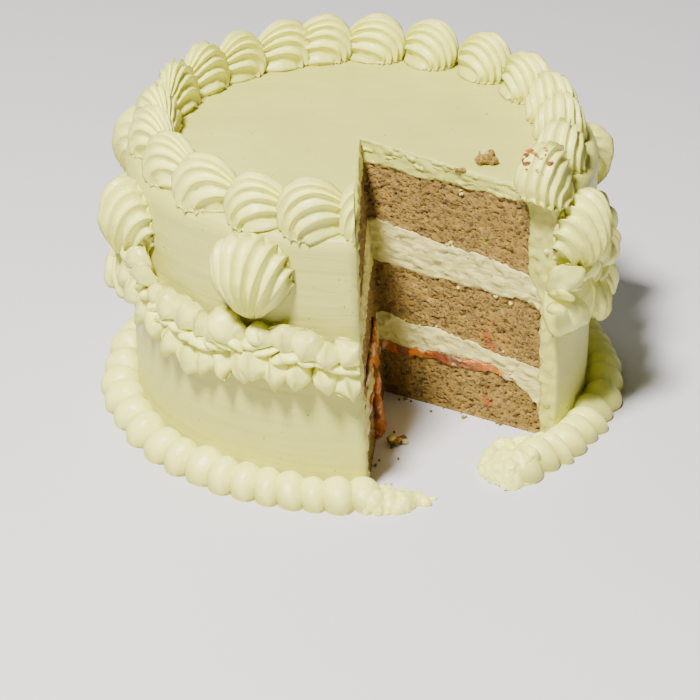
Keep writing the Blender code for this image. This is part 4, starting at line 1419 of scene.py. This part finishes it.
class CAKE_OT_stage(bpy.types.Operator):
    """Plain table, soft light and the camera"""

    bl_idname = "cake.stage"
    bl_label = "Stage"

    def execute(self, context):
        """Build the stage."""
        half = TABLE_SIDE / 2
        mesh = bpy.data.meshes.new("table")
        corners = [(-half, -half, 0), (half, -half, 0), (half, half, 0), (-half, half, 0)]
        mesh.from_pydata(corners, [], [(0, 1, 2, 3)])
        mesh.materials.append(finish_named("floor"))
        table = bpy.data.objects.new("table", mesh)
        context.scene.collection.objects.link(table)
        for light in LIGHTS:
            add_light(*light)
        world = bpy.data.worlds.new("studio")
        context.scene.world = world
        world.use_nodes = True
        background = world.node_tree.nodes["Background"]
        background.inputs["Color"].default_value = colour(*WORLD_TINT)
        background.inputs["Strength"].default_value = WORLD_STRENGTH
        camera = bpy.data.cameras.new("photo_camera")
        camera.sensor_width = SENSOR
        camera.lens = CAMERA_FOCAL / PHOTO_SIDE * SENSOR
        camera.clip_start = CLIP_START
        ob = bpy.data.objects.new("photo_camera", camera)
        ob.matrix_world = camera_matrix()
        context.scene.collection.objects.link(ob)
        context.scene.camera = ob
        return {"FINISHED"}


STEPS = (CAKE_OT_sponges, CAKE_OT_fillings, CAKE_OT_icing, CAKE_OT_top_shells, CAKE_OT_side_shells,
         CAKE_OT_garland, CAKE_OT_border, CAKE_OT_scraps, CAKE_OT_crumbs, CAKE_OT_stage)


class CAKE_PT_panel(bpy.types.Panel):
    """Steps of the cake"""

    bl_idname = "CAKE_PT_panel"
    bl_label = "Layer Cake"
    bl_space_type = "VIEW_3D"
    bl_region_type = "UI"
    bl_category = "Layer Cake"

    def draw(self, context):
        """List the steps, the sizes and the colours."""
        for step in STEPS:
            self.layout.operator(step.bl_idname)
        for group in (context.scene.cake_sizes, context.scene.cake_colours):
            for name in group.__annotations__:
                self.layout.prop(group, name)


def register():
    """Add the cake's classes to Blender."""
    for item in (CakeColours, CakeSizes, *STEPS, CAKE_PT_panel):
        bpy.utils.register_class(item)
    bpy.types.Scene.cake_colours = bpy.props.PointerProperty(type=CakeColours)
    bpy.types.Scene.cake_sizes = bpy.props.PointerProperty(type=CakeSizes)


def unregister():
    """Take the cake's classes out again."""
    del bpy.types.Scene.cake_colours
    del bpy.types.Scene.cake_sizes
    for item in reversed((CakeColours, CakeSizes, *STEPS, CAKE_PT_panel)):
        bpy.utils.unregister_class(item)


def main():
    """Run every step."""
    register()
    noise.seed_set(NOISE_SEED)
    for step in STEPS:
        group, name = step.bl_idname.split(".")
        getattr(getattr(bpy.ops, group), name)()


if __name__ == "__main__":
    main()
